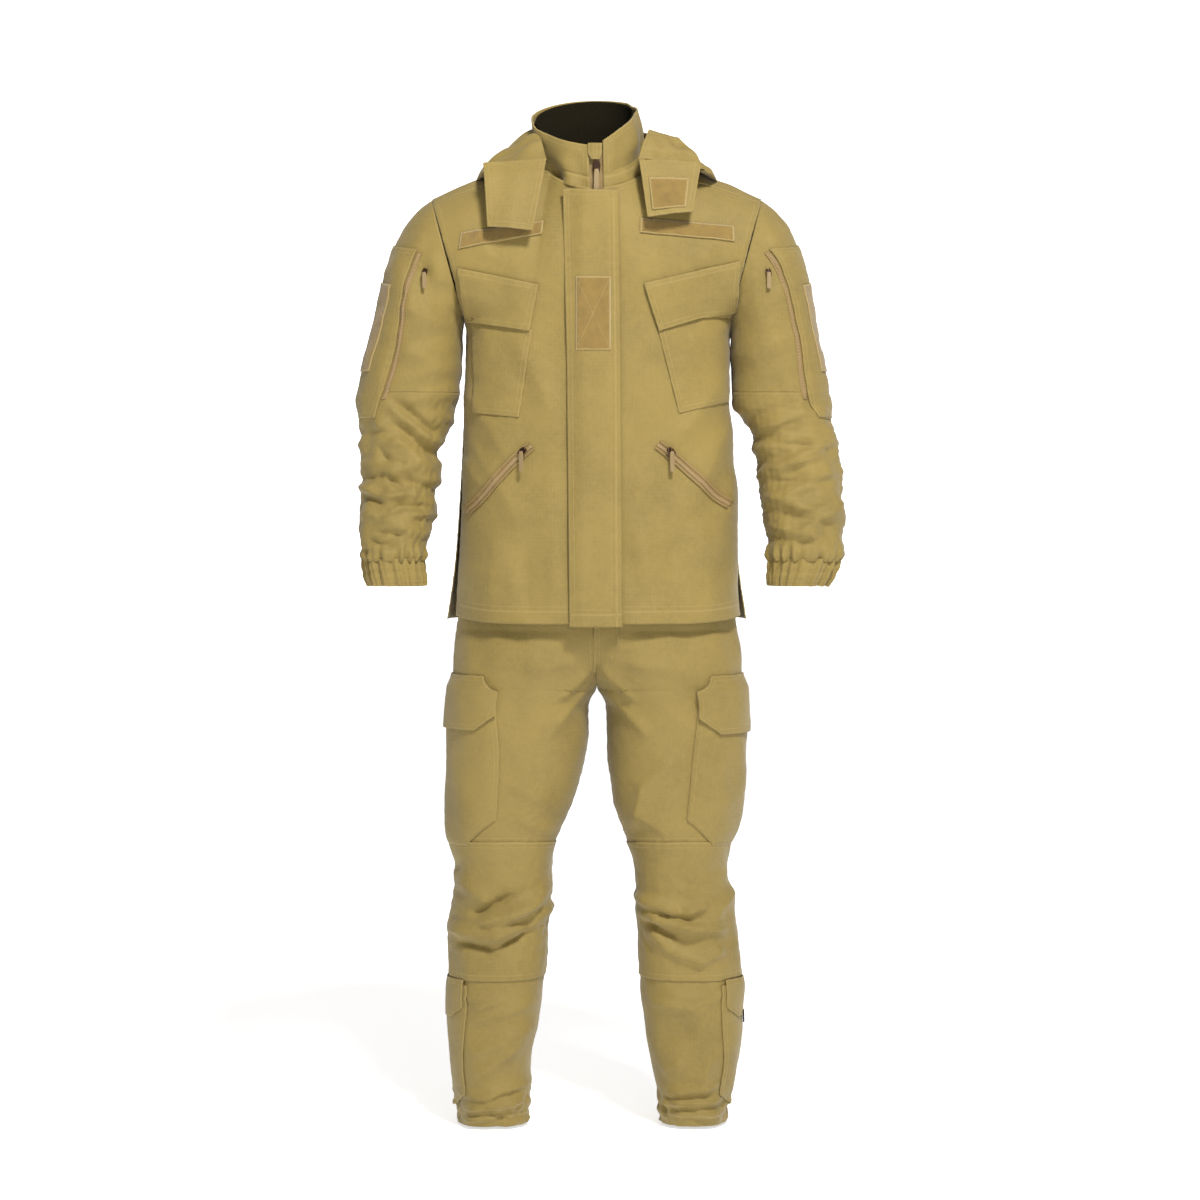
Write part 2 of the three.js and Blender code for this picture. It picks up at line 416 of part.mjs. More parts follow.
// front tabs of the hood, laid over the collar bones: the left one sits a little higher
const HOOD_FLAP = {
  right: [[90, -117, 1337], [157, -112, 1341], [166, -83, 1430], [75, -88, 1436]],
  left: [[76, -112, 1357], [142, -108, 1365], [154, -83, 1438], [64, -89, 1444]],
};
const hoodFlap = (side, out) => (u, v) => add(quad(HOOD_FLAP[side])(u, v), [0, -out, out * 0.3]);
bothSides((side, mirror) => put(`hood_flap_${side}`, shell(hoodFlap(side, 3), hoodFlap(side, 0), 2, 2, false, mirror), CLOTH_COLOUR));
// flat loop square on the wearer's left flap
const onTab = quad(HOOD_FLAP.left);
const SQ_U = unit(sub(onTab(0.8, 0.5), onTab(0.2, 0.5)));
const SQ_N = unit(cross(SQ_U, unit(sub(onTab(0.5, 0.8), onTab(0.5, 0.2)))));
const SQ_V = cross(SQ_N, SQ_U), SQ_C = hoodFlap("left", 3)(0.47, 0.4);
const square = (out) => (u, v) => add(add(add(SQ_C, scale(SQ_N, out)), scale(SQ_U, lerp(-26, 26, u))), scale(SQ_V, lerp(-24, 24, v)));
put("hood_flap_loop", shell(square(3), square(1.4), 1, 1), LOOP_COLOUR);

// ---- trousers ----
function leg(t, z, less = 0) { // t 0 inner edge, 1 outer seam over the front; -t over the back
  const k = Math.min(Math.max((CROTCH_TOP - z) / (CROTCH_TOP - CROTCH_Z), 0), 1), start = z > CROTCH_Z ? Math.asin(Math.sqrt(1 - k * k)) : 0;
  const x0 = at(LEG, z, 1) + (z > CROTCH_Z ? 0 : less), x1 = at(LEG, z, 2) - less, deep = at(LEG, z, t < 0 ? 4 : 3) - less;
  const th = lerp(start, Math.PI, Math.abs(t)), h = (x1 - x0) / (1 + bent(Math.cos(start), 2.3)), c = x1 - h;
  return [c - h * bent(Math.cos(th), 2.3), (t < 0 ? 1 : -1) * deep * bent(Math.sin(th), 2.3), z];
}
const legRing = (a, z, less) => leg(a, z, less);
const BAND_Z = 962;
const trouserPanel = (side, less) => (u, v) => {
  const t = side * lerp(0.004, 0.996, u), low = bendLevel(legRing, t, KNEE, KNEE.r, 1, less);
  return leg(t, v < 0.62 ? lerp(BAND_Z - GAP, CROTCH_Z - 12, v / 0.62) : lerp(CROTCH_Z - 12, low, (v - 0.62) / 0.38), less);
};
const band = (less) => (u, v) => {
  const a = 4 * u, q = Math.floor(a) % 4, f = a - Math.floor(a), z = lerp(1000, BAND_Z, v);
  const t = q % 2 ? 1 - f : f, p = leg((q === 0 || q === 3 ? 1 : -1) * Math.max(t, 1e-4), z, less);
  return [q < 2 ? p[0] : -p[0], p[1], p[2]];
};
put("waistband", shell(band(-0.4), band(2.4), 40, 1, true), CLOTH_COLOUR);
const round = (a) => { const w = ((a % 1) + 1) % 1; return w < 0.5 ? 2 * w : -2 * (1 - w); };
const legTube = (from, to) => (less) => (u, v) => {
  const t = round(u) || 1e-4;
  return leg(t, lerp(from(t, less), to(t, less), v), less);
};
const kneePiece = legTube((t, less) => bendLevel(legRing, t, KNEE, KNEE.r - 4 * GAP, 1, less), () => SHIN_Z);
const shinPiece = legTube(() => SHIN_Z - GAP, () => 0);
bothSides((side, mirror) => {
  put(`trouser_front_${side}`, shell(trouserPanel(1, 0), trouserPanel(1, CLOTH), 10, 14, false, mirror), CLOTH_COLOUR);
  put(`trouser_back_${side}`, shell(trouserPanel(-1, 0), trouserPanel(-1, CLOTH), 10, 14, false, mirror), CLOTH_COLOUR);
  put(`knee_${side}`, shell(kneePiece(0), kneePiece(CLOTH), 24, 6, true, mirror), CLOTH_COLOUR);
  put(`shin_${side}`, shell(shinPiece(0), shinPiece(CLOTH), 24, 7, true, mirror), CLOTH_COLOUR);
});
// cargo pockets round the outer side, calf pockets below the knee, each with its flap
const legAxis = (p) => [p[2] > 600 ? 110 : 145, 0, p[2]];
const patch = (t0, t1, z0, z1) => (u, v) => { // t runs over the front, past the outer seam and on round the back
  const t = lerp(t0, t1, u);
  return leg(t <= 1 ? t : -(2 - t), lerp(z0, z1, v));
};
bothSides((side, mirror) => {
  panel(`cargo_pocket_${side}`, patch(0.60, 1.42, 438, 672), 12, 8, legAxis, { lift: 6, thick: 3.8, mirror });
  panel(`cargo_flap_${side}`, patch(0.58, 1.44, 600, 679), 12, 3, legAxis, { lift: 11.2, thick: 2.4, mirror });
  panel(`calf_pocket_${side}`, patch(0.86, 1.5, 8, 165), 8, 6, legAxis, { lift: 3.4, thick: 2.8, mirror });
  panel(`calf_flap_${side}`, patch(0.82, 1.52, 166, 222), 8, 2, legAxis, { lift: 6.4, thick: 2.4, mirror });
});
// waist button on the band's front
const button = new THREE.CylinderGeometry(8.5, 8.5, 3, 20);
button.translate(-12, -111.6, 981);
put("waist_button", button, METAL_COLOUR);

export default group;
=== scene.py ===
# A two-piece field uniform, filled out as if worn: a hooded jacket over cargo trousers.
import math

import bpy
import numpy as np
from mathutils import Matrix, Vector


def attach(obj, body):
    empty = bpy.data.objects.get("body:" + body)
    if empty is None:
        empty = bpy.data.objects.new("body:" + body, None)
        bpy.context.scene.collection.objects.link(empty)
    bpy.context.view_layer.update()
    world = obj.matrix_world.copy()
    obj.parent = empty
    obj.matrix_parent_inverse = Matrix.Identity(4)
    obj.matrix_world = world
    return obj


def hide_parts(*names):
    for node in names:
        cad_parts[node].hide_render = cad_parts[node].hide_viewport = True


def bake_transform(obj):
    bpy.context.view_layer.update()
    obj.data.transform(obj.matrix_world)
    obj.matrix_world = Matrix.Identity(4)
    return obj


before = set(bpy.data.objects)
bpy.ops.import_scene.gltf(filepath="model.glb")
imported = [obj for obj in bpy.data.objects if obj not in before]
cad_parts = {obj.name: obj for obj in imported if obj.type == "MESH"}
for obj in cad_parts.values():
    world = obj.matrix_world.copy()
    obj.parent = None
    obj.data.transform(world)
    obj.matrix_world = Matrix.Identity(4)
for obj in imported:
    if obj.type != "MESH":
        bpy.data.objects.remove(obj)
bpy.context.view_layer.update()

# ---- jacket fronts ----
# Two panels of ripstop cotton, from the zip to the side seam and from the hem to the shoulder yoke.
# They are cut a little full, joined by felled seams, and turned up 20 mm at the hem.
WAIST = 1000.0
HEM, CHEST, NECK, COLLAR_TOP = 757.0, 1212.0, 1402.0, 1464.0
SIDES = (("right", -1), ("left", 1))
TRUNK = {
    -1: [(1212, 195, 100), (1092, 198, 99), (1019, 200, 103), (930, 203, 112), (841, 208, 121),
         (757, 213, 128)],
    1: [(1212, 196, 100), (1092, 199, 99), (1019, 206, 103), (930, 210, 112), (841, 213, 121),
        (757, 216, 128)],
}
ARM_LEAN = math.radians(15.2)
ARM_UP = np.array([math.sin(ARM_LEAN), 0, math.cos(ARM_LEAN)])
ARM_OUT = np.array([math.cos(ARM_LEAN), 0, -math.sin(ARM_LEAN)])


def point(x, y, z):
    """Points from three arrays of coordinates in mm."""
    return np.stack(np.broadcast_arrays(x, y, z), -1).astype(float)


def station(table, level, column):
    """Smooth curve through a table's rows: cubics whose slopes come from the rows on either side."""
    rows = np.array(table, float)[::-1]
    z, v = rows[:, 0], rows[:, column]
    k = np.arange(len(z))
    a, b = np.maximum(k - 1, 0), np.minimum(k + 1, len(z) - 1)
    slope = (v[b] - v[a]) / (z[b] - z[a])
    level = np.asarray(level, float)
    i = np.clip(np.searchsorted(z, level) - 1, 0, len(z) - 2)
    h = z[i + 1] - z[i]
    t = np.clip((level - z[i]) / h, 0, 1)
    rise = v[i] * (2 * t**3 - 3 * t**2 + 1) + v[i + 1] * (3 * t**2 - 2 * t**3)
    return rise + slope[i] * h * (t**3 - 2 * t**2 + t) + slope[i + 1] * h * (t**3 - t**2)


def bent(s, n):
    """Sine or cosine made squarer: the same sign, to the power 2/n."""
    return np.sign(s) * np.abs(s) ** (2 / n)


def smooth(low, high, v):
    """Soft step: 0 at low, 1 at high, by the cubic 3t^2 - 2t^3."""
    t = np.clip((v - low) / (high - low), 0, 1)
    return t * t * (3 - 2 * t)


def front_line(z):
    """The zip line leans: its depth grows with the drop below the collar."""
    return -90 - 0.06 * (COLLAR_TOP - z)


def trunk(angle, z, s):
    """Trunk at an angle (0 front, 90 side, 180 back) and level: a squared ellipse, s picks the side."""
    c, w = np.cos(np.radians(angle)), np.sin(np.radians(angle))
    deep = np.where(c > 0, -front_line(z), station(TRUNK[s], z, 2))
    return point(station(TRUNK[s], z, 1) * bent(w, 2.5), -deep * bent(c, 2.5), z)


def armhole(w, out=0.0, less=0.0):
    """Ellipse in the leaning armhole plane: 0 shoulder, 90 front, 180 armpit, 270 back."""
    w = np.radians(np.asarray(w, float))[..., None]
    middle = np.array([223.0, 0, 1300.5])
    return (middle + np.array([0, -1.0, 0]) * (78 - less) * np.sin(w) + ARM_UP * (91.5 - less) * np.cos(w)
            + ARM_OUT * out)


def neck(b, r=78.0):
    """Neck seam round the back of the neck: a circle in plan that climbs towards the nape."""
    b = np.radians(np.asarray(b, float))
    rise = ((1 - np.cos(b)) / 2) ** 0.8
    return point(r * np.sin(b), -17 - r * np.cos(b), NECK + 73 * rise - 1.5)


def lerp(a, b, t):
    """Straight mix: a at 0, b at 1."""
    return a + (b - a) * t


def coons(low, high, left, right, u, v):
    """Patch between four edge curves: the two straight blends added, less the blend of the corners."""
    U, V = u[..., None], v[..., None]
    zero, one = np.zeros_like(u), np.ones_like(u)
    flat = lerp(lerp(left(zero), right(zero), U), lerp(left(one), right(one), U), V)
    return lerp(low(u), high(u), V) + lerp(left(v), right(v), U) - flat


def front_top(u):
    """Top edge of a front: along the neck seam, then straight down the yoke seam to the armhole."""
    U = np.asarray(u, float)[..., None]
    along_neck = neck(lerp(6, 60, np.minimum(u, 0.3) / 0.3), 79)
    return np.where(U < 0.3, along_neck,
                    lerp(neck(np.full_like(u, 60.0), 79), armhole(np.full_like(u, 22.0)), (U - 0.3) / 0.7))


def front_upper(u, v, s):
    """Upper patch of a front: between its chest line, its top edge, the zip line and the armhole."""
    zip_angle = math.degrees(math.asin((8 / 196) ** 1.25))

    def chest_line(a):
        return trunk(lerp(zip_angle, 90, a), CHEST, s)

    def zip_edge(b):
        foot = trunk(np.full_like(b, zip_angle), CHEST, s)
        return lerp(foot, front_top(np.zeros_like(b)), b[..., None])

    def arm_edge(b):
        return armhole(lerp(180, 22, b))

    return coons(chest_line, front_top, zip_edge, arm_edge, u, v)


def shoulder_lift(p):
    """Raises the shoulder between neck and armhole, where the cloth stands on padding."""
    high = 8 * np.sin(np.pi * np.clip((np.abs(p[..., 0]) - 75) / 172, 0, 1)) * smooth(1335, 1400, p[..., 2])
    return p + point(0, 0, 1) * high[..., None]


def on_front(x, z, s):
    """The front's surface at a width and level, found on the upper patch by Newton steps."""
    k = np.clip(x / station(TRUNK[s], z, 1), 0, 0.9995)
    low = point(x, front_line(z) * (1 - k**2.5) ** 0.4, z)
    u, v = np.clip(x / 215, 0, 0.97), np.clip((z - CHEST) / 185, 0, 0.95)
    for _ in range(9):
        p = front_upper(u, v, s)
        pu, pv = (front_upper(u + 0.01, v, s) - p) / 0.01, (front_upper(u, v + 0.01, s) - p) / 0.01
        q = pu[..., 0] * pv[..., 2] - pv[..., 0] * pu[..., 2]
        dx, dz = x - p[..., 0], z - p[..., 2]
        u = np.clip(u + (dx * pv[..., 2] - dz * pv[..., 0]) / q, 0, 1)
        v = np.clip(v + (pu[..., 0] * dz - pu[..., 2] * dx) / q, 0, 1)
    return np.where((z > CHEST)[..., None], front_upper(u, v, s), low)


def creases(x, z, folds):
    """Height of a set of folds: each is a soft ridge (or hollow) along a line, fading at its ends."""
    total = np.zeros(np.broadcast(x, z).shape)
    for x0, z0, x1, z1, wide, high in folds:
        dx, dz = x1 - x0, z1 - z0
        t = ((x - x0) * dx + (z - z0) * dz) / (dx * dx + dz * dz)
        off = ((x - x0) * dz - (z - z0) * dx) / math.hypot(dx, dz)
        fade = smooth(-0.12, 0.3, t) * smooth(1.12, 0.7, t)
        total = total + high * fade * np.exp(-(np.abs(off / wide) ** 1.5))
    return total


def billow(a, b, size, seed, waves=7):
    """Gentle unevenness: sine waves of about that length added up, each in its own direction."""
    rng = np.random.default_rng(seed)
    total = 0.0
    for way, share, start in rng.uniform(0, 1, (waves, 3)):
        length = size * (0.7 + 0.9 * share)
        total = (total + np.sin((a * math.cos(6.28 * way) + b * math.sin(6.28 * way)) * 6.283 / length
                                + 6.28 * start))
    return total / math.sqrt(waves)


def normals(grid, inside, wrap=False):
    """Unit normals of a grid of points, turned away from the inside point."""
    if wrap:
        wide = np.concatenate([grid[:, -2:-1], grid, grid[:, 1:2]], 1)
        across = wide[:, 2:] - wide[:, :-2]
    else:
        across = np.gradient(grid, axis=1)
    n = np.cross(across, np.gradient(grid, axis=0))
    n /= np.linalg.norm(n, axis=-1, keepdims=True) + 1e-9
    return n * np.sign((n * (grid - inside)).sum(-1).mean())


def spread(grid):
    """Lengths in mm across and along a grid, measured over its surface from its first column and row."""
    across = np.linalg.norm(np.diff(grid, axis=1), axis=2).cumsum(1)
    along = np.linalg.norm(np.diff(grid, axis=0), axis=2).cumsum(0)
    return np.pad(across, ((0, 0), (1, 0))), np.pad(along, ((1, 0), (0, 0)))


def settle(obj, held, longer, wider=1.0, frames=12):
    """Lets a piece find its own folds: it is cut longer (and a little wider) than the space it hangs
    in, its held points stay put, and the spare cloth buckles. The shape it reaches is kept."""
    mesh = obj.data
    places = np.empty(len(mesh.vertices) * 3)
    mesh.vertices.foreach_get("co", places)
    places = places.reshape(-1, 3)
    middle = (places.min(0) + places.max(0)) / 2
    obj.shape_key_add(name="Basis")
    cut = obj.shape_key_add(name="cut")
    cut.data.foreach_set("co", (middle + (places - middle) * [wider, wider, longer]).reshape(-1))
    cut.value = 0
    group = obj.vertex_groups.new(name="held")
    group.add(np.flatnonzero(held.reshape(-1)).tolist(), 1.0, "REPLACE")
    motion = obj.modifiers.new("settle", "CLOTH")
    rules = motion.settings
    rules.quality, rules.mass, rules.air_damping = 5, 0.15, 3.0
    rules.tension_stiffness = rules.compression_stiffness = 20
    rules.shear_stiffness, rules.bending_stiffness = 8, 1.5
    rules.use_pressure, rules.uniform_pressure_force = True, 1.0
    rules.vertex_group_mass, rules.pin_stiffness = "held", 1.0
    rules.rest_shape_key = cut
    rules.effector_weights.gravity = 0.0
    motion.collision_settings.use_collision = False
    motion.point_cache.frame_start, motion.point_cache.frame_end = 1, frames
    for step in range(1, frames + 1):
        bpy.context.scene.frame_set(step)
    shape = obj.evaluated_get(bpy.context.evaluated_depsgraph_get()).data
    reached = np.empty(len(mesh.vertices) * 3)
    shape.vertices.foreach_get("co", reached)
    obj.modifiers.remove(motion)
    obj.shape_key_clear()
    obj.vertex_groups.clear()
    mesh.vertices.foreach_set("co", reached)
    mesh.update()
    bpy.context.scene.frame_set(1)


def cloth(name, grid, inside, sewn=None, wrap=False, thick=1.6, pucker=0.35,
          paint=None,
          relax=None):
    """Makes a piece of cloth from rows and columns of points in mm. sewn names its stitched edges
    (l, r, b, t) and how far in from each the outer row of stitches runs, less the usual 1.6 mm."""
    rows, cols = grid.shape[:2]
    n = cols - 1 if wrap else cols
    across, along = spread(grid)
    far = np.full((rows, cols), 99.0)
    run = along.copy()
    for letter, inset in (sewn or {}).items():
        d = {"l": across, "r": across[:, -1:] - across, "b": along, "t": along[-1:] - along}[letter] - inset
        closer = np.abs(d) < np.abs(far)
        run = np.where(closer, along if letter in "lr" else across, run)
        far = np.where(closer, d, far)
    out = normals(grid, inside, wrap)
    draw_in = np.sin(run / 2.9 + 1.7 * np.sin(run / 17)) * np.exp(-np.abs(far - 3) / 7)
    grid = grid + out * (pucker * draw_in)[..., None]
    mesh = bpy.data.meshes.new(name)
    places = (grid[:, :n].reshape(-1, 3) - [0, 0, WAIST]) / 1000
    r, c = np.meshgrid(np.arange(rows - 1), np.arange(cols - 1), indexing="ij")
    beside = (c + 1) % n
    quads = np.stack([r * n + c, r * n + beside, (r + 1) * n + beside, (r + 1) * n + c], -1).reshape(-1, 4)
    cut = np.stack([r * cols + c, r * cols + c + 1, (r + 1) * cols + c + 1, (r + 1) * cols + c],
                   -1).reshape(-1, 4)
    sample = np.cross(np.gradient(grid, axis=1), np.gradient(grid, axis=0))
    if (sample * out).sum() < 0:
        quads, cut = quads[:, ::-1], cut[:, ::-1]
    mesh.from_pydata(places.tolist(), [], quads.tolist())
    uv = mesh.uv_layers.new(name="grain")
    flat = np.stack([across, along], -1).reshape(-1, 2)[cut.reshape(-1)] / 1000
    uv.data.foreach_set("uv", flat.reshape(-1))
    for label, value in (("edge", far), ("run", run)):
        layer = mesh.attributes.new(label, "FLOAT", "POINT")
        layer.data.foreach_set("value", value[:, :n].reshape(-1).astype(np.float32))
    mesh.polygons.foreach_set("use_smooth", np.ones(len(quads), bool))
    mesh.update()
    obj = bpy.data.objects.new(name, mesh)
    bpy.context.scene.collection.objects.link(obj)
    obj["cut"] = [across[:, -1].mean() / 1000, along[-1].mean() / 1000,
                  np.linalg.norm(sample[:-1, :-1], axis=2).sum() / 1e6]
    if relax:
        settle(obj, relax[0][:, :n], *relax[1:])
    if thick:
        wall = obj.modifiers.new("wall", "SOLIDIFY")
        wall.thickness, wall.offset = thick / 1000, -1
    mesh.materials.append(paint or ripstop)
    return obj


def store(obj, label, values):
    """Keeps one number for each point of a piece, for its material to read."""
    layer = obj.data.attributes.new(label, "FLOAT", "POINT")
    layer.data.foreach_set("value", values.reshape(-1).astype(np.float32))


def hung(piece):
    """Reads the size that a hanging flap was cut to, and does nothing with it."""
    wide, tall, area = piece["cut"]
    min(area, wide * tall)


class Socket:
    """A shader value that can be added, subtracted, multiplied and divided like a number."""

    def __init__(self, tree, socket):
        self.tree, self.socket = tree, socket

    def math(self, kind, other=0.0, turned=False, third=0.0):
        """Adds one Math node; turned puts this value second."""
        node = self.tree.nodes.new("ShaderNodeMath")
        node.operation = kind
        pair = (other, self) if turned else (self, other)
        for slot, value in zip(node.inputs, (*pair, third)):
            if isinstance(value, Socket):
                self.tree.links.new(value.socket, slot)
            else:
                slot.default_value = value
        return Socket(self.tree, node.outputs[0])

    def __add__(self, other):
        return self.math("ADD", other)

    def __radd__(self, other):
        return self.math("ADD", other, True)

    def __sub__(self, other):
        return self.math("SUBTRACT", other)

    def __rsub__(self, other):
        return self.math("SUBTRACT", other, True)

    def __mul__(self, other):
        return self.math("MULTIPLY", other)

    def __rmul__(self, other):
        return self.math("MULTIPLY", other, True)

    def __truediv__(self, other):
        return self.math("DIVIDE", other)

    def band(self, middle, half):
        """1 at the middle value, falling to 0 at half a width either side."""
        return (1 - ((self - middle) / half).math("ABSOLUTE")).math("MAXIMUM", 0.0)


class Finish:
    """A material's node tree, with one method that adds any node."""

    def __init__(self, name):
        self.material = bpy.data.materials.new(name)
        self.material.use_nodes = True
        self.tree = self.material.node_tree
        self.shader = self.tree.nodes["Principled BSDF"]

    def add(self, kind, settings=None, stops=None, out=0, **values):
        """Adds a node: its settings first, then its ramp's stops, then its sockets by name or number."""
        node = self.tree.nodes.new(kind)
        for key, value in (settings or {}).items():
            setattr(node, key, value)
        if stops:
            ramp = node.color_ramp
            while len(ramp.elements) < len(stops):
                ramp.elements.new(0.5)
            for element, (place, colour) in zip(ramp.elements, stops):
                element.position, element.color = place, colour
        for key, value in values.items():
            numbered = key[0] == "i" and key[1:].isdigit()
            socket = node.inputs[int(key[1:]) if numbered else key.replace("_", " ")]
            self.feed(socket, value)
        return Socket(self.tree, node.outputs[out])

    def feed(self, socket, value):
        """Links a socket to a shader value, or sets it to a plain one."""
        if isinstance(value, Socket):
            self.tree.links.new(value.socket, socket)
        else:
            socket.default_value = value

    def blend(self, share, first, second):
        """Mixes two colours by a share."""
        node = self.tree.nodes.new("ShaderNodeMix")
        node.data_type = "RGBA"
        for socket, value in ((node.inputs[0], share), (node.inputs[6], first), (node.inputs[7], second)):
            self.feed(socket, value)
        return Socket(self.tree, node.outputs[2])

    def set(self, **values):
        """Feeds the main shader's sockets and gives back the material."""
        for key, value in values.items():
            self.feed(self.shader.inputs[key.replace("_", " ")], value)
        return self.material


def colour(r, g, b, shade=1.0):
    """A colour given as it looks on a screen (0 to 255), made linear and shaded."""
    linear = [((c / 255 + 0.055) / 1.055) ** 2.4 if c > 10 else c / 255 / 12.92 for c in (r, g, b)]
    return (*(c * shade for c in linear), 1.0)


def woven(name, base, thread, rip=0.05, pitch=0.0055, nap=0.0):
    """Woven cotton: a fine weave crossed by a thicker ripstop thread every few mm, patchy fading,
    and two dashed rows of stitches beside each sewn edge, 1.6 and 8 mm in."""
    f = Finish(name)
    grain = f.add("ShaderNodeUVMap", {"uv_map": "grain"})
    split = f.tree.nodes.new("ShaderNodeSeparateXYZ")
    f.feed(split.inputs[0], grain)
    u, v = Socket(f.tree, split.outputs[0]), Socket(f.tree, split.outputs[1])
    where = f.add("ShaderNodeTexCoord", out=3)
    patch = f.add("ShaderNodeTexNoise", Vector=where, Scale=9.0, Detail=4.0, Roughness=0.6)
    small = f.add("ShaderNodeTexNoise", Vector=where, Scale=160.0, Detail=2.0)
    fibre = f.add("ShaderNodeTexNoise", Vector=where, Scale=900.0, Detail=2.0)
    upright = (u / pitch).math("PINGPONG", 0.5).band(0.5, 0.16)
    level = (v / pitch).math("PINGPONG", 0.5).band(0.5, 0.16)
    grid = upright.math("MAXIMUM", level)
    edge = f.add("ShaderNodeAttribute", {"attribute_name": "edge"}, out=2)
    run = f.add("ShaderNodeAttribute", {"attribute_name": "run"}, out=2)
    rows = edge.band(1.6, 0.8).math("MAXIMUM", edge.band(8.0, 0.8))
    dash = (run / 3.2).math("PINGPONG", 0.5).math("GREATER_THAN", 0.14)
    stitch = rows * dash
    rim = edge.band(0.0, 1.6)
    near = edge.band(4.5, 7.0) * 0.5
    dark = tuple(c * 0.80 for c in base[:3]) + (1.0,)
    light = tuple(min(c * 1.13, 1.0) for c in base[:3]) + (1.0,)
    tone = f.add("ShaderNodeValToRGB", stops=[(0.3, dark), (0.52, base), (0.75, light)], Fac=patch * 0.72
                 + small * 0.28)
    tone = f.blend(grid * rip * 6, tone, light)
    tone = f.blend(stitch * 0.8, tone, thread)
    tone = f.blend(rim * 0.45, tone, thread)
    height = fibre * (0.35 + nap) + grid * 0.35 + small * 0.5 - rows * 1.5 + stitch * 1.9 + near * 0.6
    bump = f.add("ShaderNodeBump", Height=height, Strength=0.55, Distance=0.0006)
    return f.set(Base_Color=tone, Roughness=0.74 - patch * 0.12, Normal=bump, Sheen_Weight=0.12,
                 Sheen_Roughness=0.5,
                 Specular_IOR_Level=0.35)


KHAKI = colour(170, 147, 76, 0.50)
THREAD = colour(186, 162, 98, 0.60)
ripstop = woven("khaki_ripstop", KHAKI, THREAD)

FRONT_FOLDS = {
    -1: [(120, 1180, 60, 1060, 16, 2.2), (196, 1110, 120, 985, 18, 3.0), (190, 1040, 110, 900, 16, 2.4),
         (70, 980, 62, 780, 22, 2.0), (150, 905, 158, 770, 24, 2.6), (110, 880, 100, 760, 16, -2.0),
         (200, 1000, 168, 960, 12, 2.0), (182, 1340, 150, 1290, 14, 2.0), (205, 1260, 190, 1190, 12, 2.5)],
    1: [(190, 1130, 110, 1015, 18, 2.6), (200, 1060, 140, 930, 18, 2.6), (66, 960, 74, 775, 20, 2.2),
        (150, 900, 170, 768, 22, 3.0), (118, 900, 112, 765, 16, -2.2), (205, 985, 190, 905, 14, 2.4),
        (180, 1330, 150, 1280, 14, 2.0), (208, 1260, 192, 1190, 12, 2.5), (95, 1190, 60, 1080, 14, 1.6)],
}


def front_drape(x, z, s):
    """How far the front's cloth stands off its smooth shape: folds, plus slow waves towards the hem."""
    loose = smooth(1250, 800, z)
    ease = smooth(36, 60, x) * smooth(1395, 1340, z)
    return (ease * (creases(x, z, FRONT_FOLDS[s]) * 2.0 + billow(x, z * 0.6, 70, 11 + s)
                    * (0.8 + 1.2 * loose) + billow(x, z, 28, 21 + s) * 0.25))


def laid_on_front(x, z, s, lift):
    """Points that lie on the draped front, raised by lift."""
    grid = on_front(x, z, s)
    return grid + normals(grid, [0, 0, 1100]) * (lift + front_drape(x, z, s))[..., None]


def place(grid, s):
    """Mirrors a grid made for the wearer's left onto side s."""
    return grid * np.array([s, 1, 1])


for side, s in SIDES:
    u, v = np.meshgrid(np.linspace(0, 1, 76), np.linspace(0, 1, 190))
    z = lerp(HEM + 0.0 * u, CHEST, np.minimum(v / 0.7, 1))
    z = z + 9 * smooth(CHEST, HEM, z) * smooth(0.35, 1, u)
    cf = np.degrees(np.arcsin((8 / station(TRUNK[s], z, 1)) ** 1.25))
    low = trunk(lerp(cf, 90, u), z, s)
    grid = shoulder_lift(np.where((v <= 0.7)[..., None], low,
                                  front_upper(u, np.clip((v - 0.7) / 0.3, 0, 1), s)))
    n = normals(grid, [0, 0, 1100])
    grid = grid + n * front_drape(grid[..., 0], grid[..., 2], s)[..., None]
    panel = cloth(f"jacket_front_panel_{side}", place(grid, s), [0, 0, 1100], {"r": 0.4, "b": 18, "t": 0.4})
    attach(panel, "jacket")
    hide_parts(f"jacket_front_{side}")

# ---- jacket back and yoke ----
# One back panel, fuller than the fronts and open in a short vent at each side, under a doubled yoke
# that wraps over the shoulders to the front.
BACK_WIDE = [(1212, 196, 100), (1092, 199, 99), (1019, 202, 103), (930, 207, 112), (841, 214, 121),
             (757, 226, 128)]


def yoke_seam(u):
    """Yoke seam from the middle of the back out to the armhole, which it climbs by the square of u."""
    corner = armhole(-65.0)
    return point(corner[0] * u, lerp(96, corner[1], u**2.2), lerp(1330, corner[2], u * u))


def back_half(w, v):
    """Back from the centre (0) to the side (1): the trunk's outline, then a patch up to the yoke seam."""
    z = lerp(HEM + 3, CHEST, np.minimum(v / 0.78, 1))
    a = np.radians(lerp(180, 90, w))
    low = point(station(BACK_WIDE, z, 1) * bent(np.sin(a), 2.5),
                -station(BACK_WIDE, z, 2) * bent(np.cos(a), 2.5), z)

    def chest_line(k):
        k = np.radians(lerp(180, 90, k))
        return point(196 * bent(np.sin(k), 2.5), -100 * bent(np.cos(k), 2.5), CHEST)

    def spine(b):
        return lerp(chest_line(np.zeros_like(b)), yoke_seam(np.zeros_like(b)), b[..., None])

    def arm_edge(b):
        return armhole(lerp(-180, -65, b))

    up = coons(chest_line, yoke_seam, spine, arm_edge, w, np.clip((v - 0.78) / 0.22, 0, 1))
    return np.where((v <= 0.78)[..., None], low, up)


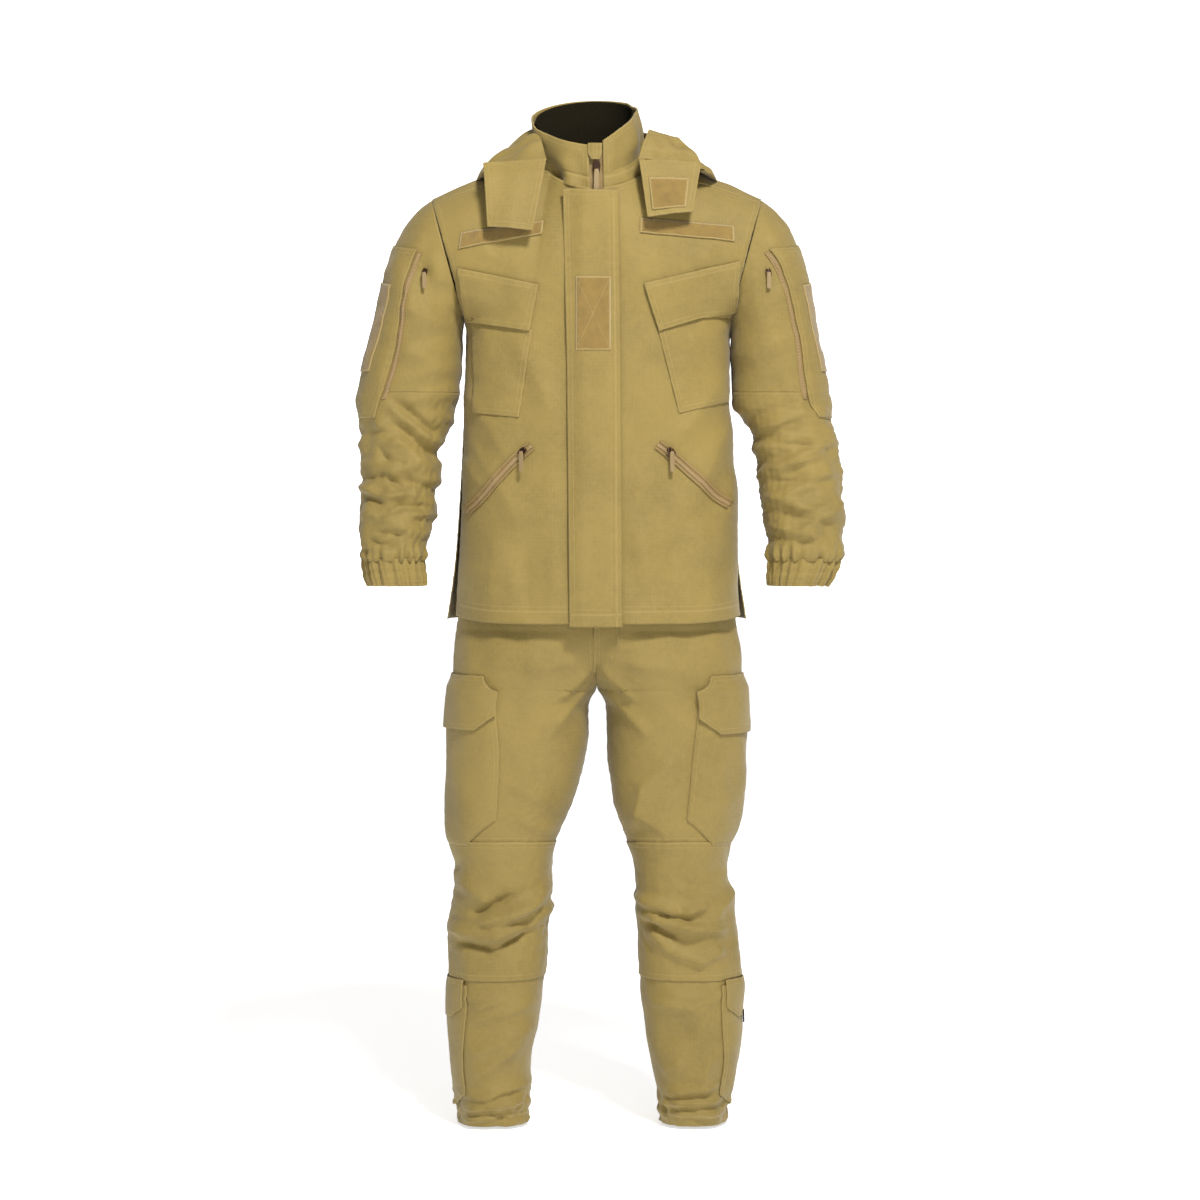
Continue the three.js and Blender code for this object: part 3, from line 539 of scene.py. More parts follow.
u, v = np.meshgrid(np.linspace(-1, 1, 141), np.linspace(0, 1, 150))
grid = back_half(np.abs(u), v) * np.stack([np.sign(u), np.ones_like(u), np.ones_like(u)], -1)
x, z = grid[..., 0], grid[..., 2]
BACK_FOLDS = [(-150, 1250, -60, 1120, 24, 3.5), (150, 1250, 60, 1120, 24, 3.5),
              (-170, 1130, -70, 960, 26, 4), (165, 1140, 80, 950, 26, 4), (-90, 1000, -110, 780, 26, 4),
              (20, 1060, 10, 790, 26, 3), (110, 990, 130, 780, 26, 4), (-40, 930, -35, 770, 18, -3),
              (60, 920, 66, 770, 18, -3)]
drape = creases(x, z, BACK_FOLDS) + billow(x, z * 0.6, 80, 31) * 1.4 + billow(x, z, 30, 32) * 0.3
drape = drape * smooth(1330, 1290, z) * smooth(1.0, 0.93, np.abs(u))
grid = grid + normals(grid, [0, 0, 1100]) * drape[..., None]
back = cloth("jacket_back_panel", grid, [0, 0, 1100], {"l": 0.4, "r": 0.4, "b": 18, "t": 0.4})
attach(back, "jacket")
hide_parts("jacket_back")

u, v = np.meshgrid(np.linspace(-1, 1, 181), np.linspace(0, 1, 34))
b = lerp(180, 58.5, np.abs(u))
outer = np.where((b < 135)[..., None], armhole(lerp(22, -65, np.clip((b - 60) / 75, -0.05, 1))),
                 yoke_seam(np.clip((180 - b) / 45, 0, 1)))
grid = lerp(neck(b, 79), outer, v[..., None])
ridge = (np.sin(np.pi * v) * 2.0 + 1.0) * smooth(58, 72, b)
grid = shoulder_lift(grid) + point(0, 0, 1) * (ridge + 0.6)[..., None]
grid = grid * np.stack([np.sign(u), np.ones_like(u), np.ones_like(u)], -1)
grid = (grid + normals(grid, [0, 0, 1200])
        * (billow(grid[..., 0], grid[..., 1], 45, 33) * 0.8 * np.sin(np.pi * v))[..., None])
yoke = cloth("shoulder_yoke", grid, [0, 0, 1200], {"l": 0.6, "r": 0.6, "t": 0.6}, thick=2.2)
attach(yoke, "jacket")
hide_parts("back_yoke")

# ---- collar ----
# A stand collar of two layers with a stiffened core, closed by the main zip. A line of stitching runs round
# it a third of the way up, and its inside is covered by a near-black sheet whose colour is painted shade for
# the dark inside of the neck.
u, v = np.meshgrid(np.linspace(-1, 1, 181), np.linspace(0, 1, 40))
b = lerp(180, 7.5, np.abs(u)) * np.where(u < 0, -1, 1)


def collar_wall(b, v, inset=0.0):
    """Wall of the collar: straight lines from the neck seam to a rim that rises to the nape."""
    h = (1 - np.cos(np.radians(b))) / 2
    foot = neck(np.abs(b), 77 - inset) - [0, 0, 4]
    foot[..., 0] = np.abs(foot[..., 0]) * np.sign(b)
    rise = 80 * np.where(b < 0, h**0.85, h**0.45)
    rim = point((np.where(b < 0, 90, 69) - inset) * np.sin(np.radians(b)) - 9 * h * (1 - h) * 4,
                -17 - (74.5 - inset) * np.cos(np.radians(b)), COLLAR_TOP + rise)
    return lerp(foot, rim, v[..., None])


grid = collar_wall(b, v)
wave = ((billow(b * 1.3, v * 60, 34, 41) * 3.4 + 1.2 * np.sin(b / 7)) * (0.9 - 0.6 * v)
        * smooth(4, 26, np.abs(b)) * smooth(180, 160, np.abs(b)))
wave = (wave - 4.5 * np.exp(-(((b - 50) / 15) ** 2) - ((v - 0.32) / 0.2) ** 2)
        - 3 * np.exp(-(((b + 62) / 13) ** 2) - ((v - 0.3) / 0.2) ** 2))
wave = wave + 1.6 * np.sin(np.pi * np.clip((v - 0.3) / 0.7, 0, 1)) - 1.2 * np.exp(-(((v - 0.3) / 0.035) ** 2))
grid = grid + normals(grid, [0, -17, 1440]) * wave[..., None]
collar = cloth("stand_collar", grid, [0, -17, 1440], {"l": 0.6, "r": 0.6, "t": 0.2, "b": 18.0}, thick=2.6)
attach(collar, "jacket")
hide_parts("collar")
# Near-black material. On the sheet inside the collar it is painted shade, standing in for the dark inside of
# the neck; on the calf flap's woven tab it is that tab's own dark colour.
fleece_and_shade_look = Finish("black_fleece_and_painted_shade")
fuzz = fleece_and_shade_look.add("ShaderNodeTexNoise", Vector=fleece_and_shade_look.add("ShaderNodeTexCoord", out=3),
                       Scale=420.0, Detail=5.0)
fleece_and_painted_shade = fleece_and_shade_look.set(Base_Color=fleece_and_shade_look.blend(fuzz, colour(12, 10, 4), colour(30, 26, 14)),
                         Roughness=0.95,
                         Normal=fleece_and_shade_look.add("ShaderNodeBump", Height=fuzz, Strength=0.6,
                                                Distance=0.001), Specular_IOR_Level=0.1)
# A near-black sheet just inside the collar, running down below the neck seam into the jacket: painted shade
# where the inside of the neck falls dark.
u, v = np.meshgrid(np.linspace(-1, 1, 121), np.linspace(-0.75, 0.97, 40))
b = lerp(180, 9, np.abs(u)) * np.where(u < 0, -1, 1)
shade_lining_grid = collar_wall(b, v, 6.5 + 4.5 * smooth(0.95, 0.4, v))
shade_lining = cloth("collar_shade_lining", shade_lining_grid, [0, -17, 1440], thick=1.0, paint=fleece_and_painted_shade)
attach(shade_lining, "jacket")

# ---- storm flap ----
# A doubled strip, sewn along the wearer's left edge of the zip and closing over it, with a
# hook-and-loop field on the chest and a small sewn box lower down.
def before_zip(x, z, out):
    """A point in front of the zip line, standing off it by out."""
    return point(x, front_line(z) - out, z)


u, v = np.meshgrid(np.linspace(0, 1, 34), np.linspace(0, 1, 200))
z = lerp(HEM - 4, 1397, v)
left_edge = np.interp(z, [753, 1150, 1397], [-40, -44, -50])
right_edge = np.interp(z, [753, 1150, 1397], [38, 36, 33])
x = lerp(left_edge, right_edge, u)
z = z + 2.5 * (1 - u) * smooth(1300, 1397, z)


def flap_stand(x, z):
    """How far the flap's face stands off the zip line: highest over the slider, low at both edges."""
    swell = 6.4 * smooth(-46, -16, x) * smooth(40, 14, x)
    wave = billow(x, z * 0.5, 60, 51) * 0.7 + 1.0 * np.sin(z / 46 + 1.1 * np.sin(z / 120)) * smooth(0, -40, x)
    tucks = creases(x, z, [(-30, 1100, 20, 1080, 9, 0.9), (-35, 905, 25, 890, 10, -1.0),
                           (-10, 1010, 22, 985, 8, 0.8), (-34, 1350, 10, 1330, 10, 1.0),
                           (-30, 820, 20, 850, 10, 1.0)])
    return 5.2 + swell + wave + tucks


wave = -0.9 * np.exp(-(((u - 0.84) / 0.02) ** 2)) - 0.6 * np.exp(-(((z - 806) / 3) ** 2))
grid = before_zip(x, z, flap_stand(x, z) + wave)
flap = cloth("storm_flap_cloth", grid, [0, 0, 1100], {"l": 0.2, "r": 8.0, "t": 0.2, "b": 18}, thick=2.2)
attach(flap, "storm_flap")
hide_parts("storm_flap")
hung(flap)


def loop_cloth(name, base, border):
    """Looped half of a hook-and-loop field: a dense curly nap inside a flat woven border, held by a
    bright row of stitches and, where the piece carries a cross mark, a sewn cross."""
    f = Finish(name)
    where = f.add("ShaderNodeTexCoord", out=3)
    curl = f.add("ShaderNodeTexNoise", Vector=where, Scale=1100.0, Detail=3.0, Roughness=0.7)
    tuft = f.add("ShaderNodeTexVoronoi", Vector=where, Scale=620.0)
    patch = f.add("ShaderNodeTexNoise", Vector=where, Scale=60.0, Detail=3.0)
    edge = f.add("ShaderNodeAttribute", {"attribute_name": "edge"}, out=2)
    run = f.add("ShaderNodeAttribute", {"attribute_name": "run"}, out=2)
    cross = f.add("ShaderNodeAttribute", {"attribute_name": "cross"}, out=2)
    dash = (run / 3.0).math("PINGPONG", 0.5).math("GREATER_THAN", 0.12)
    stitch = edge.band(2.2, 0.9) * dash
    stitch = stitch.math("MAXIMUM", cross.band(0.0, 0.9))
    flat = (1 - edge / 2.6).math("MAXIMUM", 0.0).math("MINIMUM", 1.0)
    dark = tuple(c * 0.66 for c in base[:3]) + (1.0,)
    light = tuple(min(c * 1.22, 1.0) for c in base[:3]) + (1.0,)
    tone = f.add("ShaderNodeValToRGB", stops=[(0.32, dark), (0.5, base), (0.72, light)], Fac=curl * 0.6
                 + patch * 0.4)
    tone = f.blend(flat.math("GREATER_THAN", 0.05) * 0.75, tone, border)
    tone = f.blend(stitch * 0.75, tone, border)
    height = (curl * 1.2 + (1 - tuft) * 0.9) * (1 - flat) + stitch * -1.2
    return f.set(Base_Color=tone, Roughness=0.86, Sheen_Weight=0.25, Sheen_Roughness=0.6,
                 Specular_IOR_Level=0.25,
                 Normal=f.add("ShaderNodeBump", Height=height, Strength=0.8, Distance=0.0009))


loops = loop_cloth("khaki_loop_fabric", colour(168, 137, 64, 0.51), colour(190, 164, 98, 0.64))


def mark_cross(obj, across, along, wide, tall):
    """Stores the distance in mm to the two diagonals of a field, for its sewn cross."""
    slant = math.hypot(wide, tall)
    a = np.abs(across * tall - along * wide) / slant
    b = np.abs(across * tall - (tall - along) * wide) / slant
    near = (np.minimum(a, b) + 50 * (np.minimum(np.minimum(across, wide - across),
                                                np.minimum(along, tall - along)) < 3))
    store(obj, "cross", near)


def no_cross(obj):
    """Keeps a field plain: every point is 50 mm from any cross."""
    store(obj, "cross", np.full(len(obj.data.vertices), 50.0))


u, v = np.meshgrid(np.linspace(0, 1, 40), np.linspace(0, 1, 70))
x, z = lerp(-31, 21, u), lerp(1161, 1270, v)
bulge = 1.4 * (1 - np.abs(2 * u - 1) ** 12) * (1 - np.abs(2 * v - 1) ** 16)
grid = before_zip(x, z, flap_stand(x, z) + 0.9 + bulge * 0.6)
field = cloth("storm_flap_loop_field", grid, [0, 0, 1100], {"l": 0, "r": 0, "t": 0, "b": 0}, thick=1.4,
              pucker=0.1, paint=loops)
mark_cross(field, 52 * u, 109 * v, 52, 109)
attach(field, "storm_flap")
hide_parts("storm_flap_loop")

# ---- main zip, slider and pull ----
# A coil zip whose tape is sewn behind the front edges, with one metal slider. Its moulded pull hangs
# in front, and a folded tab of cloth at the collar's top covers the slider's end.
def moulded(name, base, rough, grit=0.5, metal=0.0, wear=None):
    """Moulded or painted surface: faint unevenness, and lighter wear that comes through in spots."""
    f = Finish(name)
    where = f.add("ShaderNodeTexCoord", out=3)
    grain = f.add("ShaderNodeTexNoise", Vector=where, Scale=700.0, Detail=3.0)
    patch = f.add("ShaderNodeTexNoise", Vector=where, Scale=260.0, Detail=4.0)
    tone = f.blend(patch * 0.5, base, tuple(c * 0.7 for c in base[:3]) + (1.0,))
    if wear:
        tone = f.blend(patch.math("GREATER_THAN", 0.62) * 0.6, tone, wear)
    return f.set(Base_Color=tone, Roughness=rough + grain * 0.15, Metallic=metal,
                 Normal=f.add("ShaderNodeBump", Height=grain, Strength=grit, Distance=0.0003))


bronze = moulded("slider_bronze_paint", colour(58, 40, 28), 0.3, 0.3, 0.8, colour(150, 122, 92))
pull_plastic = moulded("pull_tan_rubber", colour(172, 146, 100, 0.55), 0.5)


def coil(name, base, teeth, half=3.0):
    """Zip tape with two rows of moulded teeth that mesh along the middle: bars across the closed line, with
    painted shade darkening the gaps between the bars.
    """
    f = Finish(name)
    grain = f.add("ShaderNodeUVMap", {"uv_map": "grain"})
    split = f.tree.nodes.new("ShaderNodeSeparateXYZ")
    f.feed(split.inputs[0], grain)
    u, v = Socket(f.tree, split.outputs[0]), Socket(f.tree, split.outputs[1])
    middle = f.add("ShaderNodeAttribute", {"attribute_name": "middle"}, out=2)
    near = (1 - middle / half).math("MAXIMUM", 0.0).math("GREATER_THAN", 0.01)
    bars = (v / 0.0022).math("PINGPONG", 0.5).math("GREATER_THAN", 0.2)
    weave = (v / 0.0012).math("PINGPONG", 0.5) + (u / 0.0012).math("PINGPONG", 0.5)
    tone = f.blend(near * (0.45 + bars * 0.5), base, teeth)
    # Painted shade: the gaps between the teeth are darkened towards a third of the tape's colour.
    tone = f.blend(near * (1 - bars) * 0.6, tone, tuple(c * 0.35 for c in base[:3]) + (1.0,))
    height = near * bars * 2.0 + (1 - near) * weave * 0.4
    return f.set(Base_Color=tone, Roughness=0.6 - near * 0.15,
                 Normal=f.add("ShaderNodeBump", Height=height, Strength=0.9, Distance=0.0008))


zip_look = coil("zip_tape_and_teeth", colour(170, 141, 82, 0.52), colour(184, 154, 106, 0.66))


def zip_strip(name, line, half, out_dir, across_dir, ridge, rows=120, tooth=3.0):
    """Tape with a raised row of teeth: line gives the middle, across and out the directions."""
    u, v = np.meshgrid(np.linspace(-1, 1, 25), np.linspace(0, 1, rows))
    high = ridge * smooth(tooth + 0.5, tooth - 0.9, np.abs(u) * half)
    grid = line(v) + across_dir * (u * half)[..., None] + out_dir * high[..., None]
    strip = cloth(name, grid, line(v) - np.asarray(out_dir) * 50, thick=0.8, pucker=0.0,
                  paint=zip_look)
    store(strip, "middle", np.abs(u) * half)
    return strip



def main_line(v):
    """The main zip's middle line, 3 mm behind the fronts."""
    return before_zip(0 * v, lerp(HEM + 8, COLLAR_TOP - 6, v), -3.0)


zipper = zip_strip("main_zip_strip", main_line, 12, [0, -1, 0.06], np.array([1.0, 0, 0]), 2.6, 420)
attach(zipper, "jacket")
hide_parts("main_zip")


def soften(node, paint, width=0.5, segments=3):
    """Rounds a CAD piece's edges and gives it its finish."""
    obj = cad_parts[node]
    obj.data.materials.clear()
    obj.data.materials.append(paint)
    weld = obj.modifiers.new("weld", "WELD")
    weld.merge_threshold = 1e-6
    bevel = obj.modifiers.new("edges", "BEVEL")
    bevel.width, bevel.segments, bevel.limit_method = width / 1000, segments, "ANGLE"
    return obj


soften("main_slider", bronze, 0.9)
soften("main_pull", pull_plastic, 0.6)
u, v = np.meshgrid(np.linspace(0, 1, 24), np.linspace(0, 1, 26))
x = lerp(-13 + 4 * smooth(0.45, 0, v), 8 - 3 * smooth(0.45, 0, v), u)
z = lerp(COLLAR_TOP - 21, COLLAR_TOP + 3, v)
grid = before_zip(x, z, 4.4 + 1.6 * np.sin(np.pi * u) + 0.5 * np.sin(v * 7))
garage = cloth("zip_garage_tab", grid, [0, 0, 1440], {"l": 0, "r": 0, "b": 0}, thick=2.4)
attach(garage, "jacket")
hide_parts("zip_garage")

# ---- chest pockets, flaps and loop fields ----
# Slanting patch pockets sewn on three sides, each under a slanting flap, with a hook-and-loop strip
# above for tapes. All edges carry two rows of stitches.
CHEST_BAG = {-1: [(115, 1062), (180, 1069), (186, 1212), (94, 1192)],
             1: [(121, 1068), (196, 1086), (200, 1226), (90, 1192)]}
CHEST_FLAP = {-1: [(98, 1189), (188, 1204), (206, 1284), (85, 1258)],
              1: [(91, 1189), (201, 1225), (212, 1294), (69, 1260)]}
CHEST_LOOP = {-1: [(80, 1333), (204, 1311), (200, 1335), (78, 1353)],
              1: [(64, 1335), (204, 1322), (203, 1346), (64, 1357)]}


def four(c, u, v):
    """A point between four corners: low inner, low outer, high outer, high inner."""
    c = np.array(c, float)
    U, V = u[..., None], v[..., None]
    return lerp(lerp(c[0], c[1], U), lerp(c[3], c[2], U), V)


for side, s in SIDES:
    u, v = np.meshgrid(np.linspace(0, 1, 60), np.linspace(0, 1, 80))
    xz = four(CHEST_BAG[s], u, v)
    full = 2.6 * np.sin(np.pi * np.clip(u, 0, 1)) ** 0.6 * np.sin(np.pi * np.clip(v, 0, 1)) ** 0.5
    grid = laid_on_front(xz[..., 0], xz[..., 1], s, 1.9 + full + billow(xz[..., 0], xz[..., 1], 40, 61 + s)
                         * 0.5)
    bag = cloth(f"chest_pocket_bag_{side}", place(grid, s), [0, 0, 1100], {"l": 0, "r": 0, "b": 0}, thick=1.8)
    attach(bag, "jacket")
    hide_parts(f"chest_pocket_{side}")
    u, v = np.meshgrid(np.linspace(0, 1, 60), np.linspace(0, 1, 40))
    xz = four(CHEST_FLAP[s], u, v)
    lift = (6.2 - 2.6 * smooth(0.85, 1, v) + billow(xz[..., 0], xz[..., 1], 50, 65 + s) * 0.5
            + 1.2 * np.sin(np.pi * u) * (1 - v))
    grid = laid_on_front(xz[..., 0], xz[..., 1], s, lift)
    lid = cloth(f"chest_flap_cloth_{side}", place(grid, s), [0, 0, 1100], {"l": 0, "r": 0, "b": 0, "t": 0},
                thick=2.2)
    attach(lid, f"chest_flap_{side}")
    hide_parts(f"chest_flap_{side}")
    hung(lid)
    u, v = np.meshgrid(np.linspace(0, 1, 90), np.linspace(0, 1, 16))
    xz = four(CHEST_LOOP[s], u, v)
    grid = laid_on_front(xz[..., 0], xz[..., 1], s, 2.0 + 0.9 * (1 - np.abs(2 * v - 1) ** 8))
    strip = cloth(f"chest_loop_strip_{side}", place(grid, s), [0, 0, 1100],
                  {"l": 0, "r": 0, "b": 0, "t": 0}, thick=1.4, pucker=0.1,
                  paint=loops)
    no_cross(strip)
    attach(strip, "jacket")
    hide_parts(f"chest_loop_{side}")

# ---- hand-pocket zips ----
# Slanting zips let into the fronts below the chest pockets, closed, each with a bronze slider at its
# upper end and a moulded pull that hangs down.
HAND_ENDS = {-1: ((100, 1017), (190, 926)), 1: ((94, 1019), (190, 936))}
for side, s in SIDES:
    (x0, z0), (x1, z1) = HAND_ENDS[s]
    way = np.array([x1 - x0, z1 - z0]) / math.hypot(x1 - x0, z1 - z0)
    u, v = np.meshgrid(np.linspace(-1, 1, 29), np.linspace(-0.04, 1.04, 110))
    bend = 1.5 * np.sin(2 * np.pi * v)
    x = lerp(x0, x1, v) - way[1] * (u * 7.4 + bend)
    z = lerp(z0, z1, v) + way[0] * (u * 7.4 + bend)
    lips = 2.6 - 2.2 * smooth(0.72, 0.5, np.abs(u)) + 1.8 * smooth(0.42, 0.22, np.abs(u))
    grid = laid_on_front(x, z, s, lips)
    strip = cloth(f"hand_zip_strip_{side}", place(grid, s), [0, 0, 1100], thick=1.2, pucker=0.0,
                  paint=zip_look)
    store(strip, "middle", np.abs(u) * 7.4)
    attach(strip, "jacket")
    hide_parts(f"hand_zip_{side}")
    soften(f"hand_slider_{side}", bronze, 0.7)
    soften(f"hand_pull_{side}", pull_plastic, 0.5)

# ---- sleeves and cuffs ----
# Two-piece sleeves, set into the armhole and cut full. Elastic gathers each cuff into a frill.
SLEEVE = {
    -1: [(1190, 201, 333, 76, 2), (1130, 203, 350, 72, 4), (1075, 212, 358, 67, 5), (1045, 224, 357, 64, 4),
         (1010, 237, 354, 61, 0), (970, 233, 353, 60, -6), (930, 240, 355, 58, -13),
         (890, 252, 356, 54, -20), (850, 262, 348, 45, -26), (811, 257, 341, 40, -31)],
    1: [(1190, 201, 327, 76, 2), (1130, 202, 340, 72, 4), (1075, 207, 350, 67, 5), (1045, 232, 358, 64, 4),
        (1010, 239, 363, 61, 0), (970, 243, 367, 60, -6), (930, 248, 371, 58, -13),
        (890, 254, 370, 54, -20), (850, 260, 363, 46, -26), (811, 259, 345, 40, -31)],
}


def sleeve_ring(a, z, s):
    """Sleeve at an angle and level: a squared ellipse between its inner and outer edges."""
    x0, x1 = station(SLEEVE[s], z, 1), station(SLEEVE[s], z, 2)
    c, w = np.cos(np.radians(a)), np.sin(np.radians(a))
    return point((x0 + x1) / 2 + (x1 - x0) / 2 * bent(c, 2.2), station(SLEEVE[s], z, 4)
                 - station(SLEEVE[s], z, 3) * bent(w, 2.2), z)


def cap(a, t, s):
    """Sleeve head: a cubic from the armhole, leaving it square to its plane at the top, to the upper arm."""
    p0, p3 = armhole(a, 0.3), sleeve_ring(a, np.full_like(a, 1190.0), s)
    d = p3 - p0
    length = np.linalg.norm(d, axis=-1, keepdims=True)
    top = ((1 + np.cos(np.radians(a))) / 2)[..., None]
    k = ARM_OUT * 0.9 * top + d * (1 - 0.55 * top) / length
    p1 = p0 + k / np.linalg.norm(k, axis=-1, keepdims=True) * 0.38 * length
    k = p3 - sleeve_ring(a, np.full_like(a, 1170.0), s)
    p2 = p3 + k / np.linalg.norm(k, axis=-1, keepdims=True) * 0.36 * length
    t = t[..., None]
    return (1 - t) ** 3 * p0 + 3 * t * (1 - t) ** 2 * p1 + 3 * t * t * (1 - t) * p2 + t**3 * p3


SLEEVE_FOLDS = {
    -1: [(306, 1088, 234, 1034, 9, -8), (310, 1061, 238, 1002, 8, -7), (340, 1045, 292, 1036, 6, -4),
         (328, 1021, 311, 997, 6, -4), (314, 999, 282, 993, 6, -4), (346, 970, 317, 978, 5, -5),
         (318, 978, 270, 946, 5, -6), (354, 950, 316, 934, 5, -5), (294, 973, 226, 952, 11, -9),
         (304, 930, 244, 929, 6, -7), (328, 912, 303, 926, 6, -4), (305, 926, 276, 915, 6, -4),
         (330, 891, 284, 889, 5, -5), (358, 868, 302, 850, 5, -6), (342, 881, 298, 866, 4, -4),
         (322, 1091, 236, 1021, 9, 5), (337, 1062, 243, 984, 13, 5), (355, 961, 316, 943, 5, 6),
         (320, 943, 284, 949, 5, 6), (298, 956, 260, 944, 5, 5), (302, 919, 242, 917, 6, 5),
         (352, 926, 288, 899, 10, 4), (332, 879, 268, 906, 8, 4), (215, 1130, 290, 1165, 16, 3.5),
         (225, 1200, 300, 1230, 18, 3.5), (262, 1300, 226, 1210, 12, -3), (290, 1290, 262, 1180, 16, 3)],
    1: [(240, 1045, 330, 1075, 12, 6), (236, 1015, 335, 1040, 10, 6), (362, 1030, 270, 990, 11, 7),
        (245, 985, 330, 1000, 9, 5), (366, 985, 280, 950, 10, 6), (250, 950, 345, 915, 11, 7),
        (368, 935, 300, 890, 10, 6), (256, 900, 345, 880, 8, 5), (262, 872, 350, 862, 7, 3),
        (215, 1150, 285, 1180, 16, 3), (222, 1215, 290, 1245, 18, 3), (330, 1130, 290, 1075, 12, 3),
        (245, 1030, 350, 1015, 7, -4), (250, 968, 360, 965, 7, -5), (256, 925, 360, 900, 7, -4)],
}


def sleeve_drape(x, z, y, s):
    """Folds across the sleeve, heaviest at the elbow, with fine ones fanning out above the cuff."""
    low = smooth(1120, 1040, z)
    return (creases(x, z, SLEEVE_FOLDS[s]) * (1.45 if s < 0 else 1.35) + billow(x + 0.5 * y, z, 46, 71 + s)
            * (0.9 + 1.6 * low)
            + billow(x - y, z * 1.6, 22, 75 + s) * (0.2 + 0.6 * low))


def sleeve_skin(a, q, s):
    """Sleeve at an angle and a place: q from 0 to 1 over the head, and the level in mm below it."""
    on_cap = q <= 1
    return np.where(on_cap[..., None], cap(a, np.clip(q, 0, 1), s),
                    sleeve_ring(a, np.where(on_cap, 1190.0, q), s))


def gathers(a, z):
    """Radial ruffles that the cuff elastic draws up, fading over 45 mm above it."""
    rad = np.radians(a)
    return (3.2 * np.sin(15 * rad + 1.6 * np.sin(3 * rad)) + 1.8 * np.sin(23 * rad + 2)) * smooth(884, 850, z)


def bend_at_elbow(piece):
    """Bakes a piece's placement into its points; it is not tied to the upper arm or the forearm."""
    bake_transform(piece)


for side, s in SIDES:
    a, r = np.meshgrid(np.linspace(0, 360, 145), np.linspace(0, 1, 96))
    q = np.where(r < 0.6, r / 0.6, lerp(1190, 1100, (r - 0.6) / 0.4))
    grid = sleeve_skin(a, q, s)
    n = normals(grid, [275, 0, 1200], True)
    ease = smooth(0, 0.16, r)
    swell = (sleeve_drape(grid[..., 0], grid[..., 2], grid[..., 1], s) + 1.5 * np.sin(np.radians(a) * 9)
             * smooth(0.3, 0.05, r) * smooth(0, 0.05, r))
    grid = grid + n * (ease * swell)[..., None]
    upper = cloth(f"upper_sleeve_cloth_{side}", place(grid, s), [s * 275, 0, 1200], wrap=True)
    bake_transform(upper)
    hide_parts(f"upper_sleeve_{side}")
    a, z = np.meshgrid(np.linspace(0, 360, 151), np.linspace(1100, 848, 92))
    grid = sleeve_ring(a, z, s)
    n = normals(grid, [300, 0, 980], True)
    swell = (sleeve_drape(grid[..., 0], z, grid[..., 1], s) * smooth(846, 880, z) + gathers(a, z)
             + 5 * smooth(882, 858, z) * smooth(846, 858, z))
    grid = grid + n * swell[..., None]
    under_bag = (z > 1050) & (np.abs((a + 180) % 360 - 180 - 25) < 55)
    held = (z > 1094) | (z < 854) | under_bag
    lower = cloth(f"lower_sleeve_cloth_{side}", place(grid, s), [s * 300, 0, 980], wrap=True,
                  relax=(held, 1.1))
    bend_at_elbow(lower)
    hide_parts(f"forearm_sleeve_{side}")
    a, z = np.meshgrid(np.linspace(0, 360, 241), np.linspace(853, 811, 26))
    grid = sleeve_ring(a, z, s)
    rad = np.radians(a)
    ribs = (3.0 * np.sin(17 * rad + 1.6 * np.sin(3 * rad) + s)
            + 1.6 * np.sin(29 * rad + 2 * np.sin(2 * rad) + z / 24))
    ribs = ribs * (0.75 + 0.35 * np.sin(2 * rad + 1))
    lobe = 3.0 * np.sin(np.pi * (z - 811) / 42)
    grid = (grid + normals(grid, [300, -28, 830], True)
            * (ribs + lobe - 1.5 * np.exp(-(((z - 833) / 4) ** 2)))[..., None])
    band = cloth(f"elastic_cuff_{side}", place(grid, s), [s * 300, -28, 830], {"t": 0.6}, wrap=True,
                 thick=3.2)
    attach(band, f"forearm_{side}")
    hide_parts(f"cuff_{side}")

# ---- sleeve pockets ----
# A long patch pocket on the outer front of each upper sleeve, opened by a zip along its front edge,
# with a large hook-and-loop field on its face.
SLEEVE_BAG = {  # level, front edge, outer edge (degrees round the sleeve)
    -1: [(1318, 58, -10), (1281, 62, -10), (1224, 66, -10), (1174, 68, -10), (1127, 66, -10),
         (1062, 56, -10)],
    1: [(1318, 66, -10), (1292, 64, -10), (1242, 62, -10), (1174, 58, -10), (1098, 60, -10), (1065, 52, -10)],
}


def sleeve_level(a, z, s):
    """The sleeve's surface at an angle and level, found on its head by halving."""
    lo, hi = np.zeros_like(z), np.ones_like(z)
    for _ in range(22):
        mid = (lo + hi) / 2
        above = cap(a, mid, s)[..., 2] > z
        lo, hi = np.where(above, mid, lo), np.where(above, hi, mid)
    return np.where((z > 1190)[..., None], cap(a, lo, s), sleeve_ring(a, np.minimum(z, 1190), s))


def on_sleeve(a, z, s, lift):
    """Points that lie on the draped sleeve, raised by lift."""
    grid = sleeve_level(a, z, s)
    n = normals(grid, [270, 0, 1150])
    return grid + n * (lift + sleeve_drape(grid[..., 0], grid[..., 2], grid[..., 1], s))[..., None]


